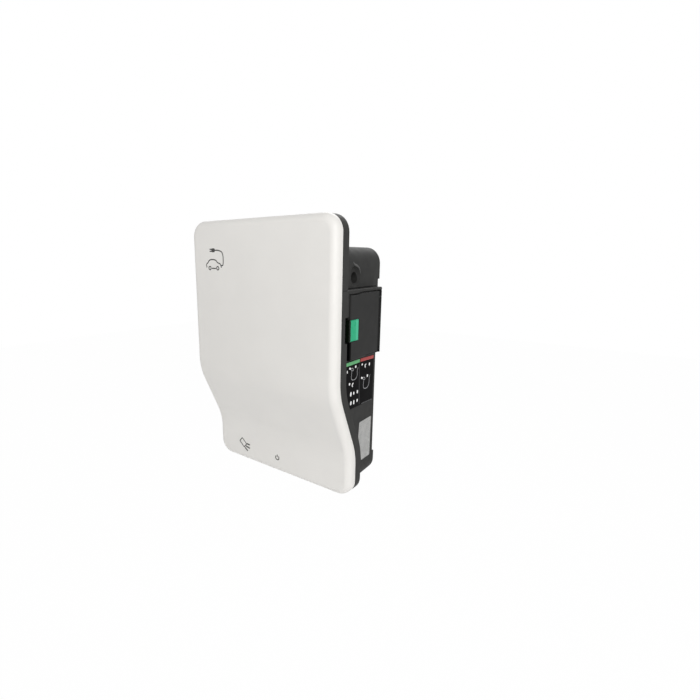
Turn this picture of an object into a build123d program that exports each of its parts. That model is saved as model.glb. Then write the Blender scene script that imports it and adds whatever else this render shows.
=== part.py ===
"""Wall box for charging an electric car: a drafted rear tub on the wall, a dark frame, a white front
cover with a stepped face, and a hinged socket flap with a latch on the right side.

Millimetres. X is to the viewer's right, Y goes back to the wall, Z is up. The origin lies on the wall
plane, at the centre of the four wall screw holes.
"""
from build123d import *
import math
import os

# Front cover
COVER_WIDTH = 331.0
COVER_HEIGHT = 480.0
TOTAL_DEPTH = 170.0
COVER_CORNER_RADIUS = 29.0
COVER_EDGE_RADIUS = 12.5
COVER_DEPTH = 18.0
COVER_WALL = 3.0
SEAM_GAP = 0.4

# Step in the front face, its corners as shares of the cover's height
STEP_DEPTH = 53.0
STEP_TOP_SHARE = 197.0 / 480.0
STEP_FOOT_SHARE = 81.0 / 480.0
STEP_BEND_RADIUS = 110.0

# Front frame
FRAME_DEPTH = 17.0
FRAME_PLATE = 3.0
FRAME_FLANGE = 14.0
LIP_HEIGHT = 3.8
LIP_THICKNESS = 2.2
LIP_GAP = 0.3
TAB_THICKNESS = 3.8
TAB_HEIGHT = 20.0
FINGER_POCKET_DEPTH = 6.5
FINGER_POCKET_HEIGHT = 41.5
FINGER_POCKET_RISE = 2.25
FINGER_POCKET_REACH = 7.0
POCKET_WALL = 2.0
BAND_GROOVE_DEPTH = 1.2
BAND_GROOVE_WIDTH = 1.6

# Rear base
BASE_SIDE_INSET = 20.0
BASE_TOP_INSET = 48.0
BASE_BOTTOM_INSET = 2.0
BASE_DRAFT = 3.2
BASE_CORNER_RADIUS = 29.0
BASE_WALL = 3.5
PAD_DEPTH = 6.0
TOP_PAD_HEIGHT = 55.0
BOTTOM_PAD_HEIGHT = 45.0
BASE_SEAL_THICKNESS = 1.5
SEAL_GAP = 0.05
BOSS_RADIUS = 5.0
WALL_HOLE_RADIUS = 3.25
WALL_HOLE_SIDE = 35.5
WALL_HOLE_EDGE = 23.0

# Screws and their holes
SCREW_RADIUS = 1.6
SCREW_HEAD_RADIUS = 3.2
SCREW_HEAD_HEIGHT = 2.4
SCREW_GRIP = 12.0
SCREW_CLEARANCE = 0.25
SCREW_KEY = 1.5
FRAME_SCREW_SIDE = 8.5
FRAME_SCREW_EDGE = 13.0
COVER_SCREW_SIDE_TOP = 55.5
COVER_SCREW_SIDE_LOW = 10.5
COVER_SCREW_DROP = 24.0
COVER_SCREW_RISE = 47.0
COVER_BOSS_RADIUS = 4.0

# Scooped side pockets
SIDE_POCKET_SHARE = 17.5 / 67.5
SIDE_POCKET_BACK = 48.0
SIDE_POCKET_RADIUS = 9.0
SIDE_POCKET_DEPTH = 16.0
SCOOP_MOUTH = 17.0
SCOOP_FLOOR = 11.5
SCOOP_DEPTH = 5.0
SCOOP_RISE = 3.0
SCOOP_LEAD = 3.0
SIDE_SCREW_HEAD = 4.5
SIDE_SCREW_RADIUS = 2.0

# Socket bezel and flap on the right side
SOCKET_SHARE = 107.0 / 235.0
BEZEL_FLOOR = 1.8
BEZEL_RIM_HEIGHT = 4.5
BEZEL_RIM_SETBACK = 1.6
BEZEL_BEVEL = 1.4
STRIP_GAP = 3.0
FLAP_GAP = 10.5
FLAP_REACH = 98.0
FLAP_HEIGHT = 108.0
FLAP_THICKNESS = 6.0
FLAP_CLEARANCE = 0.5
FLAP_RIM_GAP = 2.0
FLAP_JOG = 2.0
FLAP_JOG_START = 22.0
FLAP_JOG_END = 33.0
FLAP_EDGE_RADIUS = 2.0
FLAP_SEAL_THICKNESS = 1.6
FLAP_SEAL_WIDTH = 2.5
FLAP_SEAL_GAP = 0.3
BARREL_RADIUS = 4.0
HINGE_PIN_RADIUS = 2.0
HINGE_CLEARANCE = 0.06
KNUCKLE_LENGTH = 10.0
KNUCKLE_GAP = 0.5

# Latch on the flap
LATCH_HEIGHT = 35.0
LATCH_DROP = 5.0
LATCH_PIVOT_BACK = 21.2
LATCH_PIVOT_INSET = 2.9
LATCH_HEEL = 3.0
LATCH_PROUD = 0.5
LATCH_LEG = 2.6
LATCH_LEG_GAP = 0.6
LATCH_SIDE_GAP = 0.4
LATCH_FLOOR = 1.6
LATCH_FLOOR_GAP = 0.4
LATCH_PIN_RADIUS = 1.2
LATCH_PIN_OVERHANG = 5.0
LATCH_BEVEL = 1.2
LATCH_TIP_GAP = 0.9
NOTCH_FLOOR = 1.2

# Vehicle socket
SOCKET_FLANGE = 72.0
SOCKET_FLANGE_THICKNESS = 3.0
SOCKET_SEAL = 0.6
SOCKET_RECESS_GAP = 1.0
SHELL_RADIUS = 32.0
SHELL_BORE = 29.0
SHELL_FLAT = 23.0
SHELL_DEPTH = 52.0
SHELL_END = 4.0
CARRIER_RADIUS = 21.5
CARRIER_FLAT = 15.5
CARRIER_RECESS = 12.0
CONTACT_RADIUS = 4.0
CONTACT_BORE = 3.0
SIGNAL_RADIUS = 2.5
SIGNAL_BORE = 1.5
CONTACT_TAIL = 14.0
CONTACT_SINK = 3.0
CONTACT_GAP = 0.1
SOCKET_SCREW_SPACING = 58.0
SOCKET_SCREW_HEAD = 3.2
SOCKET_BOSS_LENGTH = 9.0
LOCK_PIN_RADIUS = 2.5
LOCK_GUIDE_CLEARANCE = 0.06
LOCK_TRAVEL = 7.0
LOCK_WIDTH = 46.0
LOCK_HEIGHT = 24.0
LOCK_LENGTH = 34.0
LOCK_NOSE = 6.0
LOCK_WALL_GAP = 0.5

# Labels on the right side
LABEL_THICKNESS = 0.4
INSTRUCTION_FRONT_GAP = 17.5
INSTRUCTION_REAR_GAP = 13.0
INSTRUCTION_SPAN = (0.0222, 0.3665)
INSTRUCTION_DROP = 5.0
RATING_OUTLINE = [(62.0, 0.512), (65.0, 0.621), (56.0, 0.718), (51.0, 0.823), (18.0, 0.827), (16.0, 0.516)]
RATING_DEPTH = 82.0

# Cable entry
GROMMET_X = -36.0
GROMMET_DEPTH_SHARE = 44.0 / 80.4
GROMMET_BORE = 11.0
GROMMET_WALL = 5.0
GROMMET_FLANGE_RADIUS = 20.0
GROMMET_FLANGE = 2.0
GROMMET_GAP = 0.1

# Power parts inside
RAIL_LENGTH = 150.0
RAIL_X = -36.0
RAIL_HEIGHT = 35.0
RAIL_CHANNEL = 25.0
RAIL_DEPTH = 7.5
RAIL_SHEET = 1.0
CONTACTOR_WIDTH = 72.0
CONTACTOR_HEIGHT = 84.0
CONTACTOR_DEPTH = 60.0
CONTACTOR_SHOULDER = 20.0
CONTACTOR_STEP = 14.0
POLE_PITCH = 17.0
POLE_COUNT = 4
WIRE_PLANE_Y = -44.0
WIRE_RADIUS = 2.0
WIRE_BEND = 6.0
SENSOR_RADIUS = 23.0
SENSOR_BORE = 13.0
SENSOR_HEIGHT = 16.0
SENSOR_WIRE_PITCH = 5.4
TERMINAL_WIDTH = 90.0
TERMINAL_HEIGHT = 34.0
TERMINAL_DEPTH = 46.0
TERMINAL_PITCH = 18.0
EARTH_TAIL_GAP = 27.42
EARTH_WIDTH = 46.0
EARTH_HEIGHT = 14.0
EARTH_DEPTH = 12.0
EARTH_PITCH = 14.0

# Control electronics inside
BOARD_THICKNESS = 1.6
BOARD_HEIGHT = 158.0
BOARD_SIDE_GAP = 16.0
BOARD_TAIL_GAP = 34.42
BOARD_MARGIN = 7.0
STANDOFF_LENGTH = 10.0
STANDOFF_RADIUS = 3.5
BOARD_HOLE = 1.8
SUPPLY_SHARE = 58.0 / 184.0
SUPPLY_HEIGHT = 40.0
SUPPLY_DEPTH = 26.0
RELAY_SIZE = 17.0
RELAY_HEIGHT = 29.0
RELAY_PITCH = 22.0
CAPACITOR_RADIUS = 6.0
CAPACITOR_LENGTH = 18.0
CAPACITOR_PITCH = 15.0
CAN_WIDTH = 36.0
CAN_HEIGHT = 30.0
CAN_DEPTH = 4.0
CONNECTOR_SHARE = 22.0 / 184.0
CONNECTOR_HEIGHT = 9.0
CONNECTOR_DEPTH = 9.0
CONNECTOR_PITCH_SHARE = 30.0 / 184.0
CONNECTOR_EDGE = 12.0
CONNECTOR_SIDE_GAP = 7.8
PART_EDGE = 16.0
SUPPLY_EDGE = 14.0
CAPACITOR_DROP = 32.0
CAN_LEAD = 8.0
CAN_DROP = 52.0
SIGNAL_EDGE = 24.0
SIGNAL_REACH = (14.0, 6.0)
SIGNAL_WIRE_PITCH = 8.0
BOARD_SCREW_GRIP = 7.0
BOARD_SCREW_ROOM = 1.0
EARTH_WIRE_DROP = 70.0
SIGNAL_WIRE_RADIUS = 1.0
SIGNAL_WIRE_BEND = 5.0

# Boards behind the lower face of the cover
POST_LENGTH = 8.0
POST_ROOT = 2.0
POST_RADIUS = 3.0
SMALL_BOARD_GRIP = 5.0
READER_WIDTH = 74.0
READER_HEIGHT = 48.0
READER_SIDE_GAP = 75.5
INDICATOR_WIDTH = 44.0
INDICATOR_HEIGHT = 40.0
INDICATOR_X = -2.0
SMALL_BOARD_RISE = 34.0
SMALL_BOARD_MARGIN = 4.5
LIGHT_GUIDE_RADIUS = 5.0

# Places worked out from the sizes above
BASE_HEIGHT = COVER_HEIGHT - BASE_TOP_INSET - BASE_BOTTOM_INSET
BASE_TOP = BASE_HEIGHT / 2
BASE_BOTTOM = -BASE_HEIGHT / 2
COVER_BOTTOM = BASE_BOTTOM - BASE_BOTTOM_INSET
COVER_TOP = COVER_BOTTOM + COVER_HEIGHT
COVER_HALF = COVER_WIDTH / 2
BASE_HALF = COVER_HALF - BASE_SIDE_INSET
STEP_TOP = COVER_BOTTOM + STEP_TOP_SHARE * COVER_HEIGHT
STEP_FOOT = COVER_BOTTOM + STEP_FOOT_SHARE * COVER_HEIGHT
UPPER_Y = -TOTAL_DEPTH
LOWER_Y = -TOTAL_DEPTH + STEP_DEPTH
FRAME_FRONT = COVER_DEPTH + SEAM_GAP
FRAME_REAR = COVER_DEPTH + FRAME_DEPTH
BASE_FRONT = FRAME_REAR + BASE_SEAL_THICKNESS + 2 * SEAL_GAP
FRAME_WALL = COVER_WALL + LIP_GAP + LIP_THICKNESS
DRAFT_SLOPE = math.tan(math.radians(BASE_DRAFT))
BAND_REAR_Y = UPPER_Y + FRAME_REAR
BACK_Y = -PAD_DEPTH - BASE_WALL
REACH = 400.0


def side_x(y):
    """Half width of the drafted base at depth y."""
    return BASE_HALF - y * DRAFT_SLOPE


def block(x0, x1, y0, y1, z0, z1):
    """Box between two corners."""
    size = Box(x1 - x0, y1 - y0, z1 - z0)
    return Pos((x0 + x1) / 2, (y0 + y1) / 2, (z0 + z1) / 2) * size


def rod(start, end, radius):
    """Round bar between two points."""
    axis = Vector(*end) - Vector(*start)
    place = Plane(origin=start, z_dir=axis)
    return extrude(place * Circle(radius), amount=axis.length)


def cone(start, end, r_start, r_end):
    """Cone frustum between two points."""
    axis = Vector(*end) - Vector(*start)
    place = Plane(origin=start, z_dir=axis)
    body = Cone(r_start, r_end, axis.length, align=(Align.CENTER, Align.CENTER, Align.MIN))
    return place.location * body


def facing_plane(y, z=0.0):
    """Plane across the depth, with its normal to the front."""
    return Plane(origin=(0, y, z), x_dir=(1, 0, 0), z_dir=(0, -1, 0))


def outline_prism(inset):
    """Rounded outline of the cover, drawn in by inset, through the whole depth."""
    face = RectangleRounded(COVER_WIDTH - 2 * inset, COVER_HEIGHT - 2 * inset, COVER_CORNER_RADIUS - inset)
    place = facing_plane(10.0, (COVER_TOP + COVER_BOTTOM) / 2)
    return extrude(place * face, amount=TOTAL_DEPTH + 20.0)


def stepped_points(offset):
    """Corners of the stepped front line in Y and Z, moved back by offset."""
    return [(UPPER_Y + offset, COVER_TOP + 20.0), (UPPER_Y + offset, STEP_TOP),
            (LOWER_Y + offset, STEP_FOOT), (LOWER_Y + offset, COVER_BOTTOM - 20.0)]


def stepped_slab(front, rear):
    """Slab between the stepped front line moved back by front and by rear."""
    points = stepped_points(front) + stepped_points(rear)[::-1]
    radii = [0.0, STEP_BEND_RADIUS, STEP_BEND_RADIUS, 0.0] * 2
    line = FilletPolyline(*points, radius=radii, close=True)
    return extrude(Plane.YZ * make_face(line.edges()), amount=REACH, both=True)


def stepped_back(front, rear_points):
    """Slab from the stepped front line back to a line of straight rear points."""
    points = stepped_points(front) + rear_points
    radii = [0.0, STEP_BEND_RADIUS, STEP_BEND_RADIUS, 0.0] + [0.0] * len(rear_points)
    line = FilletPolyline(*points, radius=radii, close=True)
    return extrude(Plane.YZ * make_face(line.edges()), amount=REACH, both=True)


def base_envelope(grow):
    """Drafted outside of the base, grown by grow on the sides, the top and the bottom."""
    sections = []
    for y in (2.0, -TOTAL_DEPTH):
        width = 2 * (side_x(y) + grow)
        face = RectangleRounded(width, BASE_HEIGHT + 2 * grow, BASE_CORNER_RADIUS + grow)
        sections.append(facing_plane(y) * face)
    return loft(sections, ruled=True)


def screw(seat, direction, length, radius=SCREW_RADIUS, head=SCREW_HEAD_RADIUS,
          head_height=SCREW_HEAD_HEIGHT):
    """Cylinder-head screw seated at a point, its shank along direction."""
    way = Vector(*direction)
    base = Vector(*seat)
    top = base - way * head_height
    tip = base + way * length
    body = rod(tuple(top), tuple(base), head) + rod(tuple(base), tuple(tip), radius)
    key = extrude(Plane(origin=tuple(top), z_dir=direction) * RegularPolygon(SCREW_KEY, 6),
                  amount=head_height * 0.6)
    return body - key


def tube_path(points, radius, bend):
    """Round wire along straight runs joined by tangent arcs."""
    pts = [Vector(*p) for p in points]
    edges = []
    start = pts[0]
    for i in range(1, len(pts) - 1):
        back = (pts[i - 1] - pts[i]).normalized()
        ahead = (pts[i + 1] - pts[i]).normalized()
        half = math.acos(max(-1.0, min(1.0, back.dot(ahead)))) / 2
        run = bend / math.tan(half)
        first = pts[i] + back * run
        last = pts[i] + ahead * run
        mid_way = (back + ahead).normalized()
        middle = pts[i] + mid_way * (bend / math.sin(half) - bend)
        edges.append(Line(start, first).edge())
        edges.append(ThreePointArc(first, middle, last).edge())
        start = last
    edges.append(Line(start, pts[-1]).edge())
    path = Wire(edges)
    profile = Plane(origin=pts[0], z_dir=pts[1] - pts[0]) * Circle(radius)
    return sweep(profile, path=path)


def polygon_side(points, x0, x1):
    """Plate with an outline given in Y and Z, between two X planes."""
    line = Polyline(*points, close=True)
    face = Plane.YZ * make_face(line.edges())
    return Pos(x0, 0, 0) * extrude(face, amount=x1 - x0)


def group(pieces):
    """Several like pieces kept as separate solids of one node."""
    return Compound(children=[p.solid() for p in pieces])


def rim_edges(shape, inset):
    """Front edges of a stepped shell, where its face meets its outline."""
    half = COVER_HALF - inset
    flat_x = COVER_HALF - COVER_CORNER_RADIUS - 0.5
    picked = []
    for edge in shape.edges():
        point = edge.position_at(0.5)
        on_top = abs(point.Z - (COVER_TOP - inset)) < 0.2
        on_foot = abs(point.Z - (COVER_BOTTOM + inset)) < 0.2
        outer = abs(point.X) > flat_x and abs(point.X) <= half + 0.2
        along_y = abs(edge.position_at(0).Y - edge.position_at(1).Y) > COVER_DEPTH - COVER_WALL - 2
        same_xz = abs(edge.position_at(0).Z - edge.position_at(1).Z) < 0.01
        if along_y and same_xz:
            continue
        if on_top or on_foot or outer:
            picked.append(edge)
    return picked


def nearest_front(edges):
    """Keep the edges lying on the front of the stepped face."""
    kept = []
    for edge in edges:
        point = edge.position_at(0.5)
        twin = [e for e in edges if abs(e.position_at(0.5).X - point.X) < 0.1
                and abs(e.position_at(0.5).Z - point.Z) < 0.1]
        if point.Y <= min(e.position_at(0.5).Y for e in twin) + 0.01:
            kept.append(edge)
    return kept


# Cable entry, placed in the depth of the bottom wall
GROMMET_Y = GROMMET_DEPTH_SHARE * (LOWER_Y + BASE_FRONT)

# Screw places on the frame and the cover
FRAME_SCREW_X = BASE_HALF - FRAME_SCREW_SIDE
COVER_SCREW_X_TOP = COVER_HALF - COVER_SCREW_SIDE_TOP
COVER_SCREW_X_LOW = COVER_HALF - COVER_SCREW_SIDE_LOW
WALL_HOLE_X = BASE_HALF - WALL_HOLE_SIDE
WALL_HOLE_Z = BASE_TOP - WALL_HOLE_EDGE
FRAME_SCREW_Z = BASE_TOP - FRAME_SCREW_EDGE
FRAME_SCREWS = [(sx * FRAME_SCREW_X, z) for sx in (-1, 1) for z in (FRAME_SCREW_Z, 0.0, -FRAME_SCREW_Z)]
COVER_SCREWS = [(sx * COVER_SCREW_X_TOP, COVER_TOP - COVER_SCREW_DROP) for sx in (-1, 1)]
COVER_SCREWS += [(sx * COVER_SCREW_X_LOW, COVER_BOTTOM + COVER_SCREW_RISE) for sx in (-1, 1)]
WALL_HOLES = [(sx * WALL_HOLE_X, sz * WALL_HOLE_Z) for sx in (-1, 1) for sz in (-1, 1)]

# Places of the socket side
SOCKET_HEIGHT = STEP_TOP + SOCKET_SHARE * (BASE_TOP - STEP_TOP)
BEZEL_FRONT_Y = BAND_REAR_Y + 0.5
BEZEL_FLOOR_X = side_x(BEZEL_FRONT_Y) + BEZEL_FLOOR
FLANGE_BACK_X = BEZEL_FLOOR_X + SOCKET_SEAL
FLANGE_FACE_X = FLANGE_BACK_X + SOCKET_FLANGE_THICKNESS
FLAP_INNER_X = FLANGE_FACE_X + FLAP_CLEARANCE
FLAP_OUTER_X = FLAP_INNER_X + FLAP_THICKNESS
BEZEL_FACE_X = FLAP_INNER_X - FLAP_SEAL_THICKNESS - FLAP_SEAL_GAP
FLAP_FRONT_Y = BAND_REAR_Y + FLAP_GAP
HINGE_Y = FLAP_FRONT_Y + FLAP_REACH
HINGE_X = FLAP_OUTER_X - BARREL_RADIUS
BEZEL_REAR_Y = HINGE_Y - BARREL_RADIUS - 1.0
SOCKET_Y = (FLAP_FRONT_Y + HINGE_Y) / 2
FLAP_FOOT = SOCKET_HEIGHT - FLAP_HEIGHT / 2
FLAP_TOP = SOCKET_HEIGHT + FLAP_HEIGHT / 2
BEZEL_TOP = FLAP_TOP + FLAP_RIM_GAP + BEZEL_RIM_HEIGHT
SIDE_POCKET_HEIGHT = BEZEL_TOP + SIDE_POCKET_SHARE * (BASE_TOP - BEZEL_TOP)
SIDE_POCKET_Y = BAND_REAR_Y + SIDE_POCKET_BACK
RECESS_HALF = SOCKET_FLANGE / 2 + SOCKET_RECESS_GAP
LATCH_Z = SOCKET_HEIGHT - LATCH_DROP
LATCH_FOOT = LATCH_Z - LATCH_HEIGHT / 2
LATCH_TOP = LATCH_Z + LATCH_HEIGHT / 2
LATCH_PIVOT_X = FLAP_OUTER_X - LATCH_PIVOT_INSET
LATCH_PIVOT_Y = FLAP_FRONT_Y + LATCH_PIVOT_BACK
LATCH_LEG_REAR = FLAP_FRONT_Y - LATCH_LEG_GAP
LATCH_LEG_FRONT = LATCH_LEG_REAR - LATCH_LEG
NOTCH_FLOOR_X = side_x(LATCH_LEG_FRONT) + NOTCH_FLOOR
POCKET_FOOT = LATCH_Z + FINGER_POCKET_RISE - FINGER_POCKET_HEIGHT / 2
POCKET_TOP = LATCH_Z + FINGER_POCKET_RISE + FINGER_POCKET_HEIGHT / 2
SOCKET_SCREWS = [(SOCKET_Y + sy * SOCKET_SCREW_SPACING / 2, SOCKET_HEIGHT + sz * SOCKET_SCREW_SPACING / 2)
                 for sy in (-1, 1) for sz in (-1, 1)]
SHELL_INNER_X = FLANGE_FACE_X - SHELL_DEPTH
CARRIER_FACE_X = FLANGE_FACE_X - CARRIER_RECESS
SOCKET_TAIL_X = SHELL_INNER_X - CONTACT_TAIL
POWER_CONTACTS = [(0.0, 0.0), (-14.0, 1.0), (14.0, 1.0), (-7.5, -13.0), (7.5, -13.0)]
SIGNAL_CONTACTS = [(-7.5, 10.5), (7.5, 10.5)]
parts = {}

# Stack of parts on the back wall, from the top down, with the free height shared out between them
STACK_GAPS = (34.5, 29.0, 18.0, 20.0, 29.5)
stack_parts = (BOARD_HEIGHT, CONTACTOR_HEIGHT, SENSOR_HEIGHT, TERMINAL_HEIGHT)
free_height = BASE_HEIGHT - 2 * BASE_WALL - sum(stack_parts)
stack_z = []
edge_z = BASE_TOP - BASE_WALL
for gap, tall in zip(STACK_GAPS, stack_parts):
    edge_z -= gap / sum(STACK_GAPS) * free_height
    stack_z.append(edge_z - tall / 2)
    edge_z -= tall
BOARD_Z, RAIL_Z, SENSOR_Z, TERMINAL_Z = stack_z
EARTH_X = SOCKET_TAIL_X - EARTH_TAIL_GAP
board_left = BASE_WALL + BOARD_SIDE_GAP - BASE_HALF
board_right = SOCKET_TAIL_X - BOARD_TAIL_GAP
BOARD_X = (board_left + board_right) / 2
BOARD_WIDTH = board_right - board_left
SUPPLY_WIDTH = SUPPLY_SHARE * BOARD_WIDTH
CONNECTOR_WIDTH = CONNECTOR_SHARE * BOARD_WIDTH
CONNECTOR_PITCH = CONNECTOR_PITCH_SHARE * BOARD_WIDTH


# Front cover: white moulded shell with a rounded front edge and four screw bosses
outer = outline_prism(0.0) & stepped_slab(0.0, COVER_DEPTH)
outer = fillet(nearest_front(rim_edges(outer, 0.0)), COVER_EDGE_RADIUS)
inner = outline_prism(COVER_WALL) & stepped_slab(COVER_WALL, COVER_DEPTH + 5.0)
inner = fillet(nearest_front(rim_edges(inner, COVER_WALL)), COVER_EDGE_RADIUS - COVER_WALL)
cover = outer - inner
READER_X = READER_SIDE_GAP - COVER_HALF
small_boards = [(READER_X, READER_WIDTH, READER_HEIGHT), (INDICATOR_X, INDICATOR_WIDTH, INDICATOR_HEIGHT)]
SMALL_BOARD_Z = COVER_BOTTOM + SMALL_BOARD_RISE
post_points = []
for x, width, height in small_boards:
    for sx in (-1, 1):
        for sz in (-1, 1):
            px = x + sx * (width / 2 - SMALL_BOARD_MARGIN)
            pz = SMALL_BOARD_Z + sz * (height / 2 - SMALL_BOARD_MARGIN)
            post_points.append((px, pz))
POST_END_Y = LOWER_Y + COVER_WALL + POST_LENGTH
for x, z in COVER_SCREWS:
    face_y = UPPER_Y if z > STEP_TOP else LOWER_Y
    boss_end = face_y + FRAME_REAR - FRAME_PLATE
    cover += rod((x, face_y + COVER_WALL - 0.5, z), (x, boss_end, z), COVER_BOSS_RADIUS)
    cover -= rod((x, boss_end - SCREW_GRIP - 1.0, z), (x, boss_end + 1.0, z), SCREW_RADIUS + SCREW_CLEARANCE)
for x, z in post_points:
    cover += rod((x, LOWER_Y + COVER_WALL - POST_ROOT, z), (x, POST_END_Y, z), POST_RADIUS)
    cover -= rod((x, POST_END_Y - SMALL_BOARD_GRIP - 1.0, z), (x, POST_END_Y + 1.0, z), 1.3)
parts["front_cover"] = cover

# Front frame: dark tray behind the cover, open in the middle, with a lip inside the cover
frame = outline_prism(0.0) & stepped_slab(FRAME_FRONT, FRAME_REAR)
frame -= outline_prism(FRAME_WALL) & stepped_slab(FRAME_FRONT - 5.0, FRAME_REAR - FRAME_PLATE)
lip = outline_prism(COVER_WALL + LIP_GAP) - outline_prism(FRAME_WALL)
frame += lip & stepped_slab(COVER_DEPTH - LIP_HEIGHT, FRAME_FRONT + 1.0)
frame -= base_envelope(-BASE_WALL - FRAME_FLANGE)
POCKET_FLOOR_X = COVER_HALF - FINGER_POCKET_REACH
pocket_block = block(POCKET_FLOOR_X - POCKET_WALL, COVER_HALF - 0.5,
                     BAND_REAR_Y - FINGER_POCKET_DEPTH - POCKET_WALL, BAND_REAR_Y,
                     POCKET_FOOT - POCKET_WALL, POCKET_TOP + POCKET_WALL)
frame += pocket_block
frame -= block(POCKET_FLOOR_X, COVER_HALF + 5.0, BAND_REAR_Y - FINGER_POCKET_DEPTH, BAND_REAR_Y + 1.0,
               POCKET_FOOT, POCKET_TOP)
groove_z = BEZEL_TOP - BEZEL_BEVEL
frame -= block(COVER_HALF - BAND_GROOVE_DEPTH, COVER_HALF + 5.0, UPPER_Y, BAND_REAR_Y + 1.0, groove_z,
               groove_z + BAND_GROOVE_WIDTH)
TAB_X = side_x(SIDE_POCKET_Y) - SIDE_POCKET_DEPTH - BASE_WALL - 0.3
for sx in (-1, 1):
    near, far = sorted((sx * (TAB_X - TAB_THICKNESS), sx * TAB_X))
    root_near, root_far = sorted((sx * (TAB_X - TAB_THICKNESS), sx * (FRAME_SCREW_X + 4.0)))
    tab_low = SIDE_POCKET_HEIGHT - TAB_HEIGHT / 2
    tab_high = SIDE_POCKET_HEIGHT + TAB_HEIGHT / 2
    frame += block(root_near, root_far, BAND_REAR_Y - FRAME_PLATE, BAND_REAR_Y, tab_low, tab_high)
    frame += block(near, far, BAND_REAR_Y - FRAME_PLATE, SIDE_POCKET_Y + TAB_HEIGHT / 2, tab_low, tab_high)
    frame -= rod((sx * (TAB_X - TAB_THICKNESS - 5), SIDE_POCKET_Y, SIDE_POCKET_HEIGHT),
                 (sx * (TAB_X + 1), SIDE_POCKET_Y, SIDE_POCKET_HEIGHT), SIDE_SCREW_RADIUS + SCREW_CLEARANCE)
for x, z in FRAME_SCREWS + COVER_SCREWS:
    frame -= rod((x, UPPER_Y + FRAME_FRONT + 6.0, z), (x, BACK_Y, z), SCREW_RADIUS + SCREW_CLEARANCE)
parts["front_frame"] = frame

# Seal between the frame and the rim of the base
seal = base_envelope(0.0) - base_envelope(-BASE_WALL)
parts["base_seal"] = seal & stepped_slab(FRAME_REAR + SEAL_GAP, BASE_FRONT - SEAL_GAP)

# Rear base: drafted tub with two wall pads, screw columns, scooped side pockets and a socket hole
pad_low = BASE_BOTTOM + BOTTOM_PAD_HEIGHT
pad_high = BASE_TOP - TOP_PAD_HEIGHT
rear_line = [(0.0, COVER_BOTTOM - 20.0), (0.0, pad_low), (-PAD_DEPTH, pad_low), (-PAD_DEPTH, pad_high),
             (0.0, pad_high), (0.0, COVER_TOP + 20.0)]
inner_line = [(-BASE_WALL, COVER_BOTTOM - 20.0), (-BASE_WALL, pad_low - BASE_WALL),
              (BACK_Y, pad_low - BASE_WALL), (BACK_Y, pad_high + BASE_WALL),
              (-BASE_WALL, pad_high + BASE_WALL), (-BASE_WALL, COVER_TOP + 20.0)]
base_solid = base_envelope(0.0) & stepped_back(BASE_FRONT, rear_line)
base_room = base_envelope(-BASE_WALL) & stepped_back(BASE_FRONT - 20.0, inner_line)
base = base_solid - base_room
columns = None
for x, z in FRAME_SCREWS:
    column = rod((x, -1.0, z), (x, -TOTAL_DEPTH, z), BOSS_RADIUS)
    columns = column if columns is None else columns + column
cups = None
cup_cuts = None
SIDE_POCKET_X = side_x(SIDE_POCKET_Y)
SCOOP_OUT = 4.0
scoop_slope = (SCOOP_MOUTH - SCOOP_FLOOR) / SCOOP_DEPTH
scoop_wide = SCOOP_MOUTH + SCOOP_OUT * scoop_slope
for sx in (-1, 1):
    mid = (SIDE_POCKET_Y - SCOOP_LEAD, SIDE_POCKET_HEIGHT + SCOOP_RISE)
    scoop_in = sx * (SIDE_POCKET_X - SCOOP_DEPTH)
    scoop_end = sx * (SIDE_POCKET_X + SCOOP_OUT)
    floor_x = SIDE_POCKET_X - SIDE_POCKET_DEPTH
    at = (SIDE_POCKET_Y, SIDE_POCKET_HEIGHT)
    cup = rod((sx * (floor_x - BASE_WALL), *at), (sx * (SIDE_POCKET_X + 5), *at),
              SIDE_POCKET_RADIUS + BASE_WALL)
    cup += cone((scoop_in - sx * BASE_WALL, *mid), (scoop_end, *mid), SCOOP_FLOOR, scoop_wide + BASE_WALL)
    cut = rod((sx * floor_x, *at), (sx * (SIDE_POCKET_X + 20), *at), SIDE_POCKET_RADIUS)
    cut += cone((scoop_in, *mid), (scoop_end, *mid), SCOOP_FLOOR, scoop_wide)
    cut += rod((sx * (floor_x - 10), *at), (sx * floor_x, *at), SIDE_SCREW_RADIUS + SCREW_CLEARANCE)
    cups = cup if cups is None else cups + cup
    cup_cuts = cut if cup_cuts is None else cup_cuts + cut
bosses = None
for y, z in SOCKET_SCREWS:
    boss = rod((side_x(y) - BASE_WALL - SOCKET_BOSS_LENGTH, y, z), (side_x(y) + 5.0, y, z), BOSS_RADIUS)
    bosses = boss if bosses is None else bosses + boss
base += (columns + cups + bosses) & base_solid
base -= cup_cuts
base -= rod((BASE_HALF - 40.0, SOCKET_Y, SOCKET_HEIGHT), (COVER_HALF, SOCKET_Y, SOCKET_HEIGHT),
            SHELL_RADIUS + 1.0)
for y, z in SOCKET_SCREWS:
    base -= rod((BASE_HALF - 30.0, y, z), (COVER_HALF, y, z), SCREW_RADIUS + SCREW_CLEARANCE)
for x, z in FRAME_SCREWS:
    rim_y = (UPPER_Y if z > STEP_FOOT else LOWER_Y) + BASE_FRONT
    base -= rod((x, rim_y - 1.0, z), (x, rim_y + SCREW_GRIP + 1.0, z), SCREW_RADIUS + SCREW_CLEARANCE)
for x, z in WALL_HOLES:
    base -= rod((x, 5.0, z), (x, -20.0, z), WALL_HOLE_RADIUS)
base -= rod((GROMMET_X, GROMMET_Y, BASE_BOTTOM - 5.0), (GROMMET_X, GROMMET_Y, BASE_BOTTOM + 10.0),
            GROMMET_BORE + GROMMET_WALL)
parts["rear_base"] = base

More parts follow.
